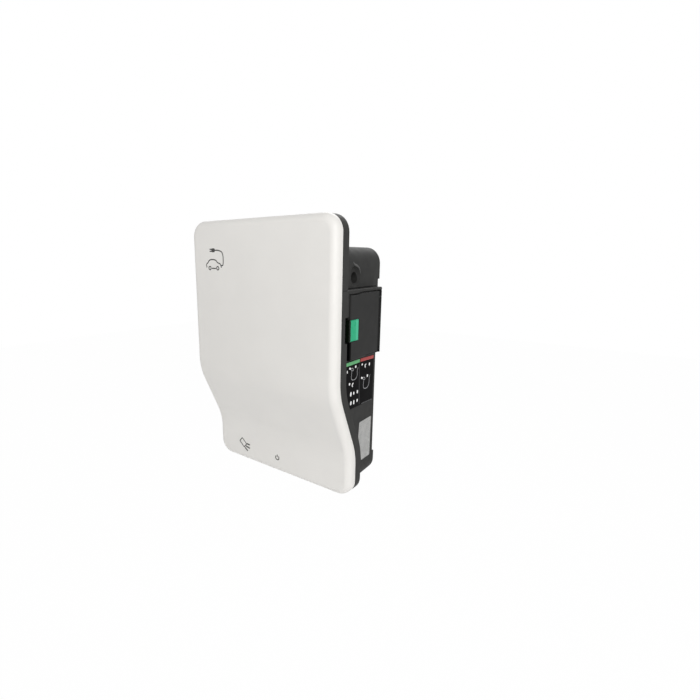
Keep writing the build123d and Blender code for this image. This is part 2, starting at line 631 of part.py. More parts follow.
# Screws of the housing
frame_screws = []
for x, z in FRAME_SCREWS:
    seat_y = (UPPER_Y if z > STEP_FOOT else LOWER_Y) + FRAME_REAR - FRAME_PLATE
    frame_screws.append(screw((x, seat_y, z), (0, 1, 0), SCREW_GRIP))
parts["frame_screws"] = group(frame_screws)
cover_screws = []
for x, z in COVER_SCREWS:
    seat_y = (UPPER_Y if z > STEP_TOP else LOWER_Y) + FRAME_REAR
    cover_screws.append(screw((x, seat_y, z), (0, -1, 0), SCREW_GRIP))
parts["cover_screws"] = group(cover_screws)
side_screws = []
for sx in (-1, 1):
    seat = (sx * (SIDE_POCKET_X - SIDE_POCKET_DEPTH), SIDE_POCKET_Y, SIDE_POCKET_HEIGHT)
    side_grip = BASE_WALL + TAB_THICKNESS + 2.0
    side_screws.append(screw(seat, (-sx, 0, 0), side_grip, SIDE_SCREW_RADIUS, SIDE_SCREW_HEAD))
parts["side_screws"] = group(side_screws)

# Cable grommet in the bottom wall
at = (GROMMET_X, GROMMET_Y)
grommet = rod((*at, BASE_BOTTOM), (*at, BASE_BOTTOM + BASE_WALL), GROMMET_BORE + GROMMET_WALL - GROMMET_GAP)
grommet += rod((*at, BASE_BOTTOM - GROMMET_FLANGE), (*at, BASE_BOTTOM), GROMMET_FLANGE_RADIUS)
inside = BASE_BOTTOM + BASE_WALL
grommet += rod((*at, inside), (*at, inside + GROMMET_FLANGE), GROMMET_FLANGE_RADIUS)
grommet -= rod((*at, BASE_BOTTOM - 5.0), (*at, BASE_BOTTOM + 15.0), GROMMET_BORE)
parts["cable_grommet"] = grommet

# Labels: thin plates lying on the drafted right side, their heights shares of the side below the flap.
# The instruction label is stuck on a little askew, its rear edge lower than its front edge.
label_zone = FLAP_FOOT - BASE_BOTTOM
INSTRUCTION_FRONT_Y = BAND_REAR_Y + INSTRUCTION_FRONT_GAP
INSTRUCTION_REAR_Y = -INSTRUCTION_REAR_GAP
INSTRUCTION_TOP = FLAP_FOOT - INSTRUCTION_SPAN[0] * label_zone
INSTRUCTION_FOOT = FLAP_FOOT - INSTRUCTION_SPAN[1] * label_zone
low_band_y = LOWER_Y + FRAME_REAR
RATING_CORNERS = [(y / RATING_DEPTH * low_band_y, FLAP_FOOT - share * label_zone)
                  for y, share in RATING_OUTLINE]
skin = base_envelope(LABEL_THICKNESS) - base_envelope(0.0)
INSTRUCTION_CORNERS = [(INSTRUCTION_FRONT_Y, INSTRUCTION_TOP),
                       (INSTRUCTION_REAR_Y, INSTRUCTION_TOP - INSTRUCTION_DROP),
                       (INSTRUCTION_REAR_Y, INSTRUCTION_FOOT - INSTRUCTION_DROP),
                       (INSTRUCTION_FRONT_Y, INSTRUCTION_FOOT)]
parts["instruction_label"] = skin & polygon_side(INSTRUCTION_CORNERS, BASE_HALF - 20.0, COVER_HALF)
parts["rating_label"] = skin & polygon_side(RATING_CORNERS, BASE_HALF - 20.0, COVER_HALF)

# Socket bezel: seat of the flap and the socket, fitted to the drafted side of the base
rim_top = BEZEL_TOP
jog_y0 = FLAP_FRONT_Y + FLAP_JOG_START
jog_y1 = FLAP_FRONT_Y + FLAP_JOG_END
rear_y = HINGE_Y + BARREL_RADIUS
rim_low = FLAP_TOP + FLAP_RIM_GAP
bezel = block(BASE_HALF - 10.0, BEZEL_FACE_X, BEZEL_FRONT_Y, BEZEL_REAR_Y, FLAP_FOOT, rim_low)
rim_points = [(BEZEL_FRONT_Y, rim_low - FLAP_JOG), (jog_y0, rim_low - FLAP_JOG), (jog_y1, rim_low),
              (rear_y, rim_low), (rear_y, rim_top), (BEZEL_FRONT_Y, rim_top)]
rim = polygon_side(rim_points, BASE_HALF - 10.0, FLAP_OUTER_X - BEZEL_RIM_SETBACK)
rim_face_x = FLAP_OUTER_X - BEZEL_RIM_SETBACK
top_edges = [e for e in rim.edges() if abs(e.position_at(0.5).X - rim_face_x) < 0.01
             and abs(e.position_at(0.5).Z - rim_top) < 0.01]
rim = chamfer(top_edges, BEZEL_BEVEL)
bezel += rim
for z0, z1 in ((FLAP_FOOT, FLAP_FOOT + KNUCKLE_LENGTH), (FLAP_TOP - KNUCKLE_LENGTH, FLAP_TOP)):
    bezel += rod((HINGE_X, HINGE_Y, z0), (HINGE_X, HINGE_Y, z1), BARREL_RADIUS)
    bezel += block(BASE_HALF - 10.0, BEZEL_FACE_X, BEZEL_REAR_Y - 1.0, HINGE_Y + 2.0, z0, z1)
    bezel += block(BASE_HALF - 10.0, HINGE_X - 1.0, HINGE_Y - BARREL_RADIUS + 0.5, HINGE_Y + 2.0, z0, z1)
bezel += block(HINGE_X - BARREL_RADIUS, HINGE_X + 2.0, HINGE_Y - 2.0, HINGE_Y + BARREL_RADIUS,
               FLAP_TOP - 2.0, rim_low)
bezel -= base_envelope(0.0)
bezel -= block(BEZEL_FLOOR_X, COVER_HALF, SOCKET_Y - RECESS_HALF, SOCKET_Y + RECESS_HALF,
               SOCKET_HEIGHT - RECESS_HALF, SOCKET_HEIGHT + RECESS_HALF)
bezel -= rod((BASE_HALF - 20.0, SOCKET_Y, SOCKET_HEIGHT), (COVER_HALF, SOCKET_Y, SOCKET_HEIGHT),
             SHELL_RADIUS + 0.5)
for y, z in SOCKET_SCREWS:
    bezel -= rod((BASE_HALF - 20.0, y, z), (COVER_HALF, y, z), SCREW_RADIUS + SCREW_CLEARANCE)
bezel -= block(NOTCH_FLOOR_X, COVER_HALF, BEZEL_FRONT_Y - 1.0, LATCH_LEG_REAR + LATCH_LEG_GAP,
               POCKET_FOOT, POCKET_TOP)
bezel -= rod((HINGE_X, HINGE_Y, FLAP_FOOT - 5.0), (HINGE_X, HINGE_Y, FLAP_TOP - 1.5),
             HINGE_PIN_RADIUS + HINGE_CLEARANCE)
parts["socket_bezel"] = bezel

# Strip between the frame and the front edge of the flap, above the finger notch
strip_rear = FLAP_FRONT_Y - STRIP_GAP
strip = block(BEZEL_FACE_X, rim_face_x, BEZEL_FRONT_Y, strip_rear, POCKET_TOP, rim_low - FLAP_JOG)
parts["bezel_strip"] = strip

# Hinge pin of the flap
parts["flap_hinge_pin"] = rod((HINGE_X, HINGE_Y, FLAP_FOOT), (HINGE_X, HINGE_Y, FLAP_TOP - 1.5),
                              HINGE_PIN_RADIUS)

# Flap: panel with a hinge barrel at its rear edge and a pocket for the latch
plate_rear = HINGE_Y - BARREL_RADIUS - 1.5
flap_points = [(FLAP_FRONT_Y, FLAP_FOOT), (plate_rear, FLAP_FOOT), (plate_rear, FLAP_TOP), (jog_y1, FLAP_TOP),
               (jog_y0, FLAP_TOP - FLAP_JOG), (FLAP_FRONT_Y, FLAP_TOP - FLAP_JOG)]
flap = polygon_side(flap_points, FLAP_INNER_X, FLAP_OUTER_X)
flap_edges = [e for e in flap.edges() if abs(e.position_at(0.5).X - FLAP_OUTER_X) < 0.01
              and e.position_at(0.5).Y < plate_rear - 0.1]
flap = fillet(flap_edges, FLAP_EDGE_RADIUS)
barrel_low = FLAP_FOOT + KNUCKLE_LENGTH + KNUCKLE_GAP
barrel_high = FLAP_TOP - KNUCKLE_LENGTH - KNUCKLE_GAP
flap += rod((HINGE_X, HINGE_Y, barrel_low), (HINGE_X, HINGE_Y, barrel_high), BARREL_RADIUS)
flap += block(FLAP_INNER_X, FLAP_OUTER_X, plate_rear - 2.0, HINGE_Y, barrel_low, barrel_high)
flap -= rod((HINGE_X, HINGE_Y, FLAP_FOOT), (HINGE_X, HINGE_Y, FLAP_TOP), HINGE_PIN_RADIUS + HINGE_CLEARANCE)
flap -= block(FLAP_INNER_X + LATCH_FLOOR, COVER_HALF + 5.0,
              FLAP_FRONT_Y - 5.0, LATCH_PIVOT_Y + LATCH_HEEL + 1.2,
              LATCH_FOOT - LATCH_SIDE_GAP, LATCH_TOP + LATCH_SIDE_GAP)
pin_low = LATCH_FOOT - LATCH_PIN_OVERHANG
pin_high = LATCH_TOP + LATCH_PIN_OVERHANG
flap -= rod((LATCH_PIVOT_X, LATCH_PIVOT_Y, pin_low), (LATCH_PIVOT_X, LATCH_PIVOT_Y, pin_high),
            LATCH_PIN_RADIUS + HINGE_CLEARANCE)
parts["flap"] = flap

# Flap seal: rubber ring on the inner face, round the socket recess
seal_half = RECESS_HALF + 1.0
ring = block(FLAP_INNER_X - FLAP_SEAL_THICKNESS, FLAP_INNER_X, SOCKET_Y - seal_half - FLAP_SEAL_WIDTH,
             SOCKET_Y + seal_half + FLAP_SEAL_WIDTH, SOCKET_HEIGHT - seal_half - FLAP_SEAL_WIDTH,
             SOCKET_HEIGHT + seal_half + FLAP_SEAL_WIDTH)
ring -= block(FLAP_INNER_X - 10.0, FLAP_INNER_X + 1.0, SOCKET_Y - seal_half, SOCKET_Y + seal_half,
              SOCKET_HEIGHT - seal_half, SOCKET_HEIGHT + seal_half)
parts["flap_seal"] = ring

# Latch: rocking lever on the flap, with a leg in front of the flap's edge
latch_in = FLAP_INNER_X + LATCH_FLOOR + LATCH_FLOOR_GAP
latch_out = FLAP_OUTER_X + LATCH_PROUD
heel_y = LATCH_PIVOT_Y + LATCH_HEEL
leg_tip = BEZEL_FACE_X + LATCH_TIP_GAP
latch_points = [(leg_tip, LATCH_LEG_FRONT), (latch_out - LATCH_BEVEL, LATCH_LEG_FRONT),
                (latch_out, LATCH_LEG_FRONT + LATCH_BEVEL), (latch_out, heel_y - LATCH_BEVEL),
                (latch_out - LATCH_BEVEL, heel_y), (LATCH_PIVOT_X + 0.4, heel_y),
                (latch_in, LATCH_PIVOT_Y), (latch_in, LATCH_LEG_REAR), (leg_tip, LATCH_LEG_REAR)]
latch_face = make_face(Polyline(*latch_points, close=True).edges())
latch = Pos(0, 0, LATCH_FOOT) * extrude(latch_face, amount=LATCH_HEIGHT)
latch_edges = [e for e in latch.edges() if abs(e.position_at(0.5).X - latch_out) < 0.01
               and abs(e.position_at(0).Y - e.position_at(1).Y) > 5.0]
latch = chamfer(latch_edges, LATCH_BEVEL)
latch -= rod((LATCH_PIVOT_X, LATCH_PIVOT_Y, pin_low), (LATCH_PIVOT_X, LATCH_PIVOT_Y, pin_high),
             LATCH_PIN_RADIUS + HINGE_CLEARANCE)
parts["latch"] = latch
parts["latch_pin"] = rod((LATCH_PIVOT_X, LATCH_PIVOT_Y, pin_low), (LATCH_PIVOT_X, LATCH_PIVOT_Y, pin_high),
                         LATCH_PIN_RADIUS)


def flatted(x0, x1, radius, flat):
    """Round bar along X at the socket centre, flattened on top."""
    bar = rod((x0, SOCKET_Y, SOCKET_HEIGHT), (x1, SOCKET_Y, SOCKET_HEIGHT), radius)
    keep = block(x0 - 1.0, x1 + 1.0, SOCKET_Y - 60.0, SOCKET_Y + 60.0,
                 SOCKET_HEIGHT - 60.0, SOCKET_HEIGHT + flat)
    return bar & keep


# Socket shell: flange and flattened barrel that takes the plug
half = SOCKET_FLANGE / 2
shell = block(FLANGE_BACK_X, FLANGE_FACE_X, SOCKET_Y - half, SOCKET_Y + half, SOCKET_HEIGHT - half,
              SOCKET_HEIGHT + half)
shell_rear = SHELL_INNER_X + SHELL_END
shell += rod((shell_rear, SOCKET_Y, SOCKET_HEIGHT), (FLANGE_BACK_X, SOCKET_Y, SOCKET_HEIGHT), SHELL_RADIUS)
shell -= flatted(shell_rear - 1.0, FLANGE_FACE_X + 1.0, SHELL_BORE, SHELL_FLAT)
for y, z in SOCKET_SCREWS:
    shell -= rod((FLANGE_BACK_X - 1, y, z), (FLANGE_FACE_X + 1, y, z), SCREW_RADIUS + SCREW_CLEARANCE)
    shell -= cone((FLANGE_FACE_X - SOCKET_SCREW_HEAD + SCREW_RADIUS, y, z), (FLANGE_FACE_X, y, z),
                  SCREW_RADIUS + SCREW_CLEARANCE, SOCKET_SCREW_HEAD + SCREW_CLEARANCE)
LOCK_X = side_x(SOCKET_Y + LOCK_WIDTH / 2) - BASE_WALL - LOCK_WALL_GAP - LOCK_NOSE
lock_top = SOCKET_HEIGHT + SHELL_RADIUS
shell -= rod((LOCK_X, SOCKET_Y, SOCKET_HEIGHT + SHELL_FLAT - 3.0), (LOCK_X, SOCKET_Y, lock_top + 5.0),
             LOCK_PIN_RADIUS + LOCK_GUIDE_CLEARANCE)
parts["socket_shell"] = shell

# Socket back: round cap on the rear of the barrel, pierced for the contacts
back = rod((SHELL_INNER_X, SOCKET_Y, SOCKET_HEIGHT), (shell_rear, SOCKET_Y, SOCKET_HEIGHT), SHELL_RADIUS)
for places, radius in ((POWER_CONTACTS, CONTACT_RADIUS), (SIGNAL_CONTACTS, SIGNAL_RADIUS)):
    for y, z in places:
        at = (SOCKET_Y + y, SOCKET_HEIGHT + z)
        back -= rod((SHELL_INNER_X - 1, *at), (shell_rear + 1, *at), radius + CONTACT_GAP)
parts["socket_back"] = back

# Contact carrier and the seven contact sleeves
carrier = flatted(SHELL_INNER_X + SHELL_END, CARRIER_FACE_X, CARRIER_RADIUS, CARRIER_FLAT)
sleeves = []
for places, radius, bore in ((POWER_CONTACTS, CONTACT_RADIUS, CONTACT_BORE),
                             (SIGNAL_CONTACTS, SIGNAL_RADIUS, SIGNAL_BORE)):
    for y, z in places:
        at = (SOCKET_Y + y, SOCKET_HEIGHT + z)
        carrier -= rod((SHELL_INNER_X, *at), (CARRIER_FACE_X + 1.0, *at), radius + CONTACT_GAP)
        sleeve = rod((SOCKET_TAIL_X, *at), (CARRIER_FACE_X - CONTACT_SINK, *at), radius)
        sleeve -= rod((SHELL_INNER_X + SHELL_END, *at), (CARRIER_FACE_X, *at), bore)
        sleeves.append(sleeve)
parts["contact_carrier"] = carrier
parts["contact_sleeves"] = group(sleeves)

# Flange seal and the four countersunk socket screws
flange_seal = block(BEZEL_FLOOR_X, FLANGE_BACK_X, SOCKET_Y - half, SOCKET_Y + half, SOCKET_HEIGHT - half,
                    SOCKET_HEIGHT + half)
flange_seal -= rod((BASE_HALF, SOCKET_Y, SOCKET_HEIGHT), (COVER_HALF, SOCKET_Y, SOCKET_HEIGHT),
                   SHELL_RADIUS + 0.5)
socket_screws = []
for y, z in SOCKET_SCREWS:
    flange_seal -= rod((BASE_HALF, y, z), (COVER_HALF, y, z), SCREW_RADIUS + SCREW_CLEARANCE)
    neck_x = FLANGE_FACE_X - SOCKET_SCREW_HEAD + SCREW_RADIUS
    fastener = cone((neck_x, y, z), (FLANGE_FACE_X, y, z), SCREW_RADIUS, SOCKET_SCREW_HEAD)
    fastener += rod((side_x(y) - BASE_WALL - SOCKET_BOSS_LENGTH + 2.0, y, z), (neck_x, y, z), SCREW_RADIUS)
    socket_screws.append(fastener)
parts["flange_seal"] = flange_seal
parts["socket_screws"] = group(socket_screws)

# Plug lock: actuator above the socket barrel and its sliding pin
lock_foot = lock_top + 0.2
lock = block(LOCK_X + LOCK_NOSE - LOCK_LENGTH, LOCK_X + LOCK_NOSE, SOCKET_Y - LOCK_WIDTH / 2,
             SOCKET_Y + LOCK_WIDTH / 2, lock_foot - 6.0, lock_foot + LOCK_HEIGHT)
lock -= rod((SHELL_INNER_X - 5.0, SOCKET_Y, SOCKET_HEIGHT), (FLANGE_BACK_X, SOCKET_Y, SOCKET_HEIGHT),
            SHELL_RADIUS + 0.05)
lock_pin_tip = SOCKET_HEIGHT + SHELL_FLAT + 0.3
lock_pin_end = lock_foot + LOCK_TRAVEL + 8.0
lock -= rod((LOCK_X, SOCKET_Y, lock_foot - 8.0), (LOCK_X, SOCKET_Y, lock_pin_end + 1.0),
            LOCK_PIN_RADIUS + LOCK_GUIDE_CLEARANCE)
parts["lock_actuator"] = lock
parts["lock_pin"] = rod((LOCK_X, SOCKET_Y, lock_pin_tip), (LOCK_X, SOCKET_Y, lock_pin_end), LOCK_PIN_RADIUS)

# Mounting rail: bent sheet with two flanges, on the back wall
web = RAIL_CHANNEL / 2
tall = RAIL_HEIGHT / 2
front_y = BACK_Y - RAIL_DEPTH
rail_points = [(BACK_Y, RAIL_Z - web), (BACK_Y, RAIL_Z + web), (front_y + RAIL_SHEET, RAIL_Z + web),
               (front_y + RAIL_SHEET, RAIL_Z + tall), (front_y, RAIL_Z + tall),
               (front_y, RAIL_Z + web - RAIL_SHEET), (BACK_Y - RAIL_SHEET, RAIL_Z + web - RAIL_SHEET),
               (BACK_Y - RAIL_SHEET, RAIL_Z - web + RAIL_SHEET), (front_y, RAIL_Z - web + RAIL_SHEET),
               (front_y, RAIL_Z - tall), (front_y + RAIL_SHEET, RAIL_Z - tall),
               (front_y + RAIL_SHEET, RAIL_Z - web)]
parts["mounting_rail"] = polygon_side(rail_points, RAIL_X - RAIL_LENGTH / 2, RAIL_X + RAIL_LENGTH / 2)

# Contactor: stepped block on the rail, with a row of clamps at the top and at the bottom
poles = [RAIL_X + (i - (POLE_COUNT - 1) / 2) * POLE_PITCH for i in range(POLE_COUNT)]
contactor_top = RAIL_Z + CONTACTOR_HEIGHT / 2
contactor_foot = RAIL_Z - CONTACTOR_HEIGHT / 2
contactor = block(RAIL_X - CONTACTOR_WIDTH / 2, RAIL_X + CONTACTOR_WIDTH / 2,
                  front_y - CONTACTOR_DEPTH, front_y, contactor_foot, contactor_top)
shoulder_y = front_y - CONTACTOR_DEPTH + CONTACTOR_STEP
contactor_screws = []
for z0, z1 in ((contactor_foot, contactor_foot + CONTACTOR_SHOULDER),
               (contactor_top - CONTACTOR_SHOULDER, contactor_top)):
    contactor -= block(RAIL_X - CONTACTOR_WIDTH, RAIL_X + CONTACTOR_WIDTH,
                       front_y - CONTACTOR_DEPTH - 1, shoulder_y, z0 - 0.001, z1 + 0.001)
    for x in poles:
        z = (z0 + z1) / 2
        contactor -= rod((x, shoulder_y - 1.0, z), (x, shoulder_y + 6.0, z), SCREW_HEAD_RADIUS + 0.6)
        contactor -= rod((x, shoulder_y + 5.0, z), (x, shoulder_y + 12.0, z), SCREW_RADIUS + SCREW_CLEARANCE)
        contactor_screws.append(screw((x, shoulder_y + 6.0, z), (0, 1, 0), 5.0))
parts["contactor"] = contactor
parts["contactor_screws"] = group(contactor_screws)

# Terminal block for the supply cable
places = [RAIL_X + (i - (POLE_COUNT - 1) / 2) * TERMINAL_PITCH for i in range(POLE_COUNT)]
terminal_top = TERMINAL_Z + TERMINAL_HEIGHT / 2
terminal = block(RAIL_X - TERMINAL_WIDTH / 2, RAIL_X + TERMINAL_WIDTH / 2, BACK_Y - TERMINAL_DEPTH, BACK_Y,
                 TERMINAL_Z - TERMINAL_HEIGHT / 2, terminal_top)
terminal_screws = []
for x in places:
    face_y = BACK_Y - TERMINAL_DEPTH
    terminal -= rod((x, face_y - 1.0, TERMINAL_Z), (x, face_y + 5.0, TERMINAL_Z), SCREW_HEAD_RADIUS + 0.6)
    terminal -= rod((x, face_y + 4.0, TERMINAL_Z), (x, face_y + 11.0, TERMINAL_Z),
                    SCREW_RADIUS + SCREW_CLEARANCE)
    terminal_screws.append(screw((x, face_y + 5.0, TERMINAL_Z), (0, 1, 0), 5.0))
parts["terminal_block"] = terminal
parts["terminal_screws"] = group(terminal_screws)

# Earth terminal: brass bar with clamp screws
earth_top = TERMINAL_Z + EARTH_HEIGHT / 2
earth = block(EARTH_X - EARTH_WIDTH / 2, EARTH_X + EARTH_WIDTH / 2, BACK_Y - EARTH_DEPTH, BACK_Y,
              TERMINAL_Z - EARTH_HEIGHT / 2, earth_top)
earth_screws = []
for i in (-1, 0, 1):
    x = EARTH_X + i * EARTH_PITCH
    face_y = BACK_Y - EARTH_DEPTH
    earth -= rod((x, face_y - 1.0, TERMINAL_Z), (x, face_y + 8.0, TERMINAL_Z), SCREW_RADIUS + SCREW_CLEARANCE)
    earth_screws.append(screw((x, face_y, TERMINAL_Z), (0, 1, 0), 6.0))
parts["earth_terminal"] = earth
parts["earth_screws"] = group(earth_screws)

# Leakage-current sensor: ring round the supply wires, on a foot
foot = block(RAIL_X - 14.0, RAIL_X + 14.0, WIRE_PLANE_Y, BACK_Y, SENSOR_Z - SENSOR_HEIGHT / 2,
             SENSOR_Z + SENSOR_HEIGHT / 2)
sensor = foot + rod((RAIL_X, WIRE_PLANE_Y, SENSOR_Z - SENSOR_HEIGHT / 2),
                    (RAIL_X, WIRE_PLANE_Y, SENSOR_Z + SENSOR_HEIGHT / 2), SENSOR_RADIUS)
sensor -= rod((RAIL_X, WIRE_PLANE_Y, SENSOR_Z - SENSOR_HEIGHT),
              (RAIL_X, WIRE_PLANE_Y, SENSOR_Z + SENSOR_HEIGHT),
              SENSOR_BORE)
parts["leakage_sensor"] = sensor

# Supply wires: from the terminal block through the sensor ring to the contactor
supply_wires = []
ring_foot = SENSOR_Z - SENSOR_HEIGHT / 2
ring_top = SENSOR_Z + SENSOR_HEIGHT / 2
for i in range(POLE_COUNT):
    mid_x = RAIL_X + (i - (POLE_COUNT - 1) / 2) * SENSOR_WIRE_PITCH
    path = [(places[i], WIRE_PLANE_Y, terminal_top), (places[i], WIRE_PLANE_Y, terminal_top + 4.0),
            (mid_x, WIRE_PLANE_Y, ring_foot - 2.0), (mid_x, WIRE_PLANE_Y, ring_top + 2.0),
            (poles[i], WIRE_PLANE_Y, contactor_foot - 4.0), (poles[i], WIRE_PLANE_Y, contactor_foot)]
    supply_wires.append(tube_path(path, WIRE_RADIUS, WIRE_BEND / 2))
parts["supply_wires"] = group(supply_wires)

# Socket wires: from the contactor to the power sleeves, and the earth wire
socket_wires = []
for pole, contact in zip(poles, (POWER_CONTACTS[3], POWER_CONTACTS[4], POWER_CONTACTS[1], POWER_CONTACTS[2])):
    y = SOCKET_Y + contact[0]
    z = SOCKET_HEIGHT + contact[1]
    path = [(pole, WIRE_PLANE_Y, contactor_top), (pole, WIRE_PLANE_Y, z), (pole, y, z), (SOCKET_TAIL_X, y, z)]
    socket_wires.append(tube_path(path, WIRE_RADIUS, WIRE_BEND))
parts["socket_wires"] = group(socket_wires)
earth_y = BACK_Y - EARTH_DEPTH / 2
low_z = SOCKET_HEIGHT - EARTH_WIRE_DROP
earth_path = [(EARTH_X, earth_y, earth_top), (EARTH_X, earth_y, low_z), (EARTH_X, SOCKET_Y, low_z),
              (EARTH_X, SOCKET_Y, SOCKET_HEIGHT), (SOCKET_TAIL_X, SOCKET_Y, SOCKET_HEIGHT)]
parts["earth_wire"] = tube_path(earth_path, WIRE_RADIUS, WIRE_BEND)

# Control board on standoffs, with its screws
board_back = BACK_Y - STANDOFF_LENGTH
board_front = board_back - BOARD_THICKNESS
board = block(BOARD_X - BOARD_WIDTH / 2, BOARD_X + BOARD_WIDTH / 2, board_front, board_back,
              BOARD_Z - BOARD_HEIGHT / 2, BOARD_Z + BOARD_HEIGHT / 2)
standoffs = []
board_screws = []
for sx in (-1, 1):
    for sz in (-1, 0, 1):
        x = BOARD_X + sx * (BOARD_WIDTH / 2 - BOARD_MARGIN)
        z = BOARD_Z + sz * (BOARD_HEIGHT / 2 - BOARD_MARGIN)
        board -= rod((x, BACK_Y, z), (x, board_front - 1.0, z), BOARD_HOLE)
        standoff = rod((x, BACK_Y, z), (x, board_back, z), STANDOFF_RADIUS)
        hole_end = board_back + BOARD_SCREW_GRIP + BOARD_SCREW_ROOM
        standoff -= rod((x, hole_end, z), (x, board_back - 1.0, z), BOARD_HOLE)
        standoffs.append(standoff)
        board_screws.append(screw((x, board_front, z), (0, 1, 0), BOARD_SCREW_GRIP))
parts["control_board"] = board
parts["board_standoffs"] = group(standoffs)
parts["board_screws"] = group(board_screws)

# Parts on the control board
board_low = BOARD_Z - BOARD_HEIGHT / 2
board_high = BOARD_Z + BOARD_HEIGHT / 2
supply_x = board_left + PART_EDGE
parts["power_supply"] = block(supply_x, supply_x + SUPPLY_WIDTH, board_front - SUPPLY_DEPTH, board_front,
                              board_high - SUPPLY_HEIGHT - SUPPLY_EDGE, board_high - SUPPLY_EDGE)
relays = []
for i in range(2):
    x = supply_x + i * RELAY_PITCH
    relays.append(block(x, x + RELAY_SIZE, board_front - RELAY_SIZE, board_front, board_low + PART_EDGE,
                        board_low + PART_EDGE + RELAY_HEIGHT))
parts["relays"] = group(relays)
capacitors = []
for i in range(3):
    x = supply_x + CAPACITOR_RADIUS + i * CAPACITOR_PITCH
    z = board_high - SUPPLY_HEIGHT - CAPACITOR_DROP
    capacitors.append(rod((x, board_front, z), (x, board_front - CAPACITOR_LENGTH, z), CAPACITOR_RADIUS))
parts["capacitors"] = group(capacitors)
can_x = BOARD_X + CAN_LEAD
can_z = board_high - CAN_DROP
parts["processor_can"] = block(can_x, can_x + CAN_WIDTH, board_front - CAN_DEPTH, board_front, can_z,
                               can_z + CAN_HEIGHT)
connectors = []
signal_x = board_right - SIGNAL_EDGE
last_x = board_right - BOARD_MARGIN - SCREW_HEAD_RADIUS - CONNECTOR_SIDE_GAP - CONNECTOR_WIDTH
for i in range(3):
    x = last_x - i * CONNECTOR_PITCH
    connectors.append(block(x, x + CONNECTOR_WIDTH, board_front - CONNECTOR_DEPTH, board_front,
                            board_high - CONNECTOR_EDGE, board_high - CONNECTOR_EDGE + CONNECTOR_HEIGHT))
signal_z = SOCKET_HEIGHT + SIGNAL_CONTACTS[0][1]
connectors.append(block(signal_x - SIGNAL_REACH[0], signal_x + SIGNAL_REACH[1], board_front - CONNECTOR_DEPTH,
                        board_front, signal_z - CONNECTOR_HEIGHT / 2, signal_z + CONNECTOR_HEIGHT / 2))
parts["board_connectors"] = group(connectors)
signal_wires = []
for contact, x in zip(SIGNAL_CONTACTS, (signal_x, signal_x - SIGNAL_WIRE_PITCH)):
    y = SOCKET_Y + contact[0]
    path = [(SOCKET_TAIL_X, y, signal_z), (x, y, signal_z), (x, board_front - CONNECTOR_DEPTH, signal_z)]
    signal_wires.append(tube_path(path, SIGNAL_WIRE_RADIUS, SIGNAL_WIRE_BEND))
parts["signal_wires"] = group(signal_wires)

# Card-reader board, indicator board and light guide behind the lower face of the cover
small_screws = []
for name, (x, width, height) in zip(("reader_board", "indicator_board"), small_boards):
    plate = block(x - width / 2, x + width / 2, POST_END_Y, POST_END_Y + BOARD_THICKNESS,
                  SMALL_BOARD_Z - height / 2, SMALL_BOARD_Z + height / 2)
    for px, pz in post_points:
        plate -= rod((px, POST_END_Y - 1.0, pz), (px, POST_END_Y + 5.0, pz), 1.3)
    parts[name] = plate
for px, pz in post_points:
    seat = (px, POST_END_Y + BOARD_THICKNESS, pz)
    small_screws.append(screw(seat, (0, -1, 0), SMALL_BOARD_GRIP, 1.1, 2.2, 1.6))
parts["small_board_screws"] = group(small_screws)
parts["light_guide"] = rod((INDICATOR_X, POST_END_Y, SMALL_BOARD_Z),
                           (INDICATOR_X, LOWER_Y + COVER_WALL, SMALL_BOARD_Z), LIGHT_GUIDE_RADIUS)

os.makedirs("parts", exist_ok=True)
for name, shape in parts.items():
    shape.label = name
    export_step(shape, "parts/" + name + ".step")
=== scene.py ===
import bpy
import bmesh
import numpy as np
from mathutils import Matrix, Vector


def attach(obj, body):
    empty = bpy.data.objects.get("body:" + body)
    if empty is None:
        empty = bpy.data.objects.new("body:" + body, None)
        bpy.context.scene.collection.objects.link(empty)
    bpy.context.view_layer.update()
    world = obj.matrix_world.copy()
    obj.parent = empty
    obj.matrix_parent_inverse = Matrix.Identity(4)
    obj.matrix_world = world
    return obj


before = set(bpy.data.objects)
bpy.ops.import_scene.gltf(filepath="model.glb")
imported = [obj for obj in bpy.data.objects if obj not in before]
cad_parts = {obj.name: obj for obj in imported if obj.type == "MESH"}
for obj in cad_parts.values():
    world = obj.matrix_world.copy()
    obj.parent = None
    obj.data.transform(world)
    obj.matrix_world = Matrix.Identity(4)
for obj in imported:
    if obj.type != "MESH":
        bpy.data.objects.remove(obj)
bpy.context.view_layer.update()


# Rear base: the deep tub that hangs on the wall by its two pads and carries everything else.
# Charcoal ABS, injection moulded with drafted sides and a fine grain; four screws hold it to the wall.
# A dark line painted on its right side is painted shade standing for a groove along the top of the socket
# bezel.
def add_node(material, kind, **values):
    """One shader node, with its input sockets set by name, spaces written as underscores."""
    made = material.node_tree.nodes.new(kind)
    for key, value in values.items():
        made.inputs[key.replace("_", " ")].default_value = value
    return made


def blank_finish(name):
    """A new material with its shader, its link list and its object coordinates."""
    material = bpy.data.materials.new(name)
    material.use_nodes = True
    shader = material.node_tree.nodes["Principled BSDF"]
    where = add_node(material, "ShaderNodeTexCoord").outputs["Object"]
    return material, shader, material.node_tree.links, where


def noise_between(material, where, scale, low, high, detail=3.0):
    """Noise of a given scale per metre, stretched so that 0.3 to 0.7 becomes low to high."""
    links = material.node_tree.links
    cloud = add_node(material, "ShaderNodeTexNoise", Scale=scale, Detail=detail)
    links.new(where, cloud.inputs["Vector"])
    span = add_node(material, "ShaderNodeMapRange",
                    From_Min=0.3, From_Max=0.7, To_Min=low, To_Max=high)
    links.new(cloud.outputs["Fac"], span.inputs["Value"])
    return span.outputs["Result"]


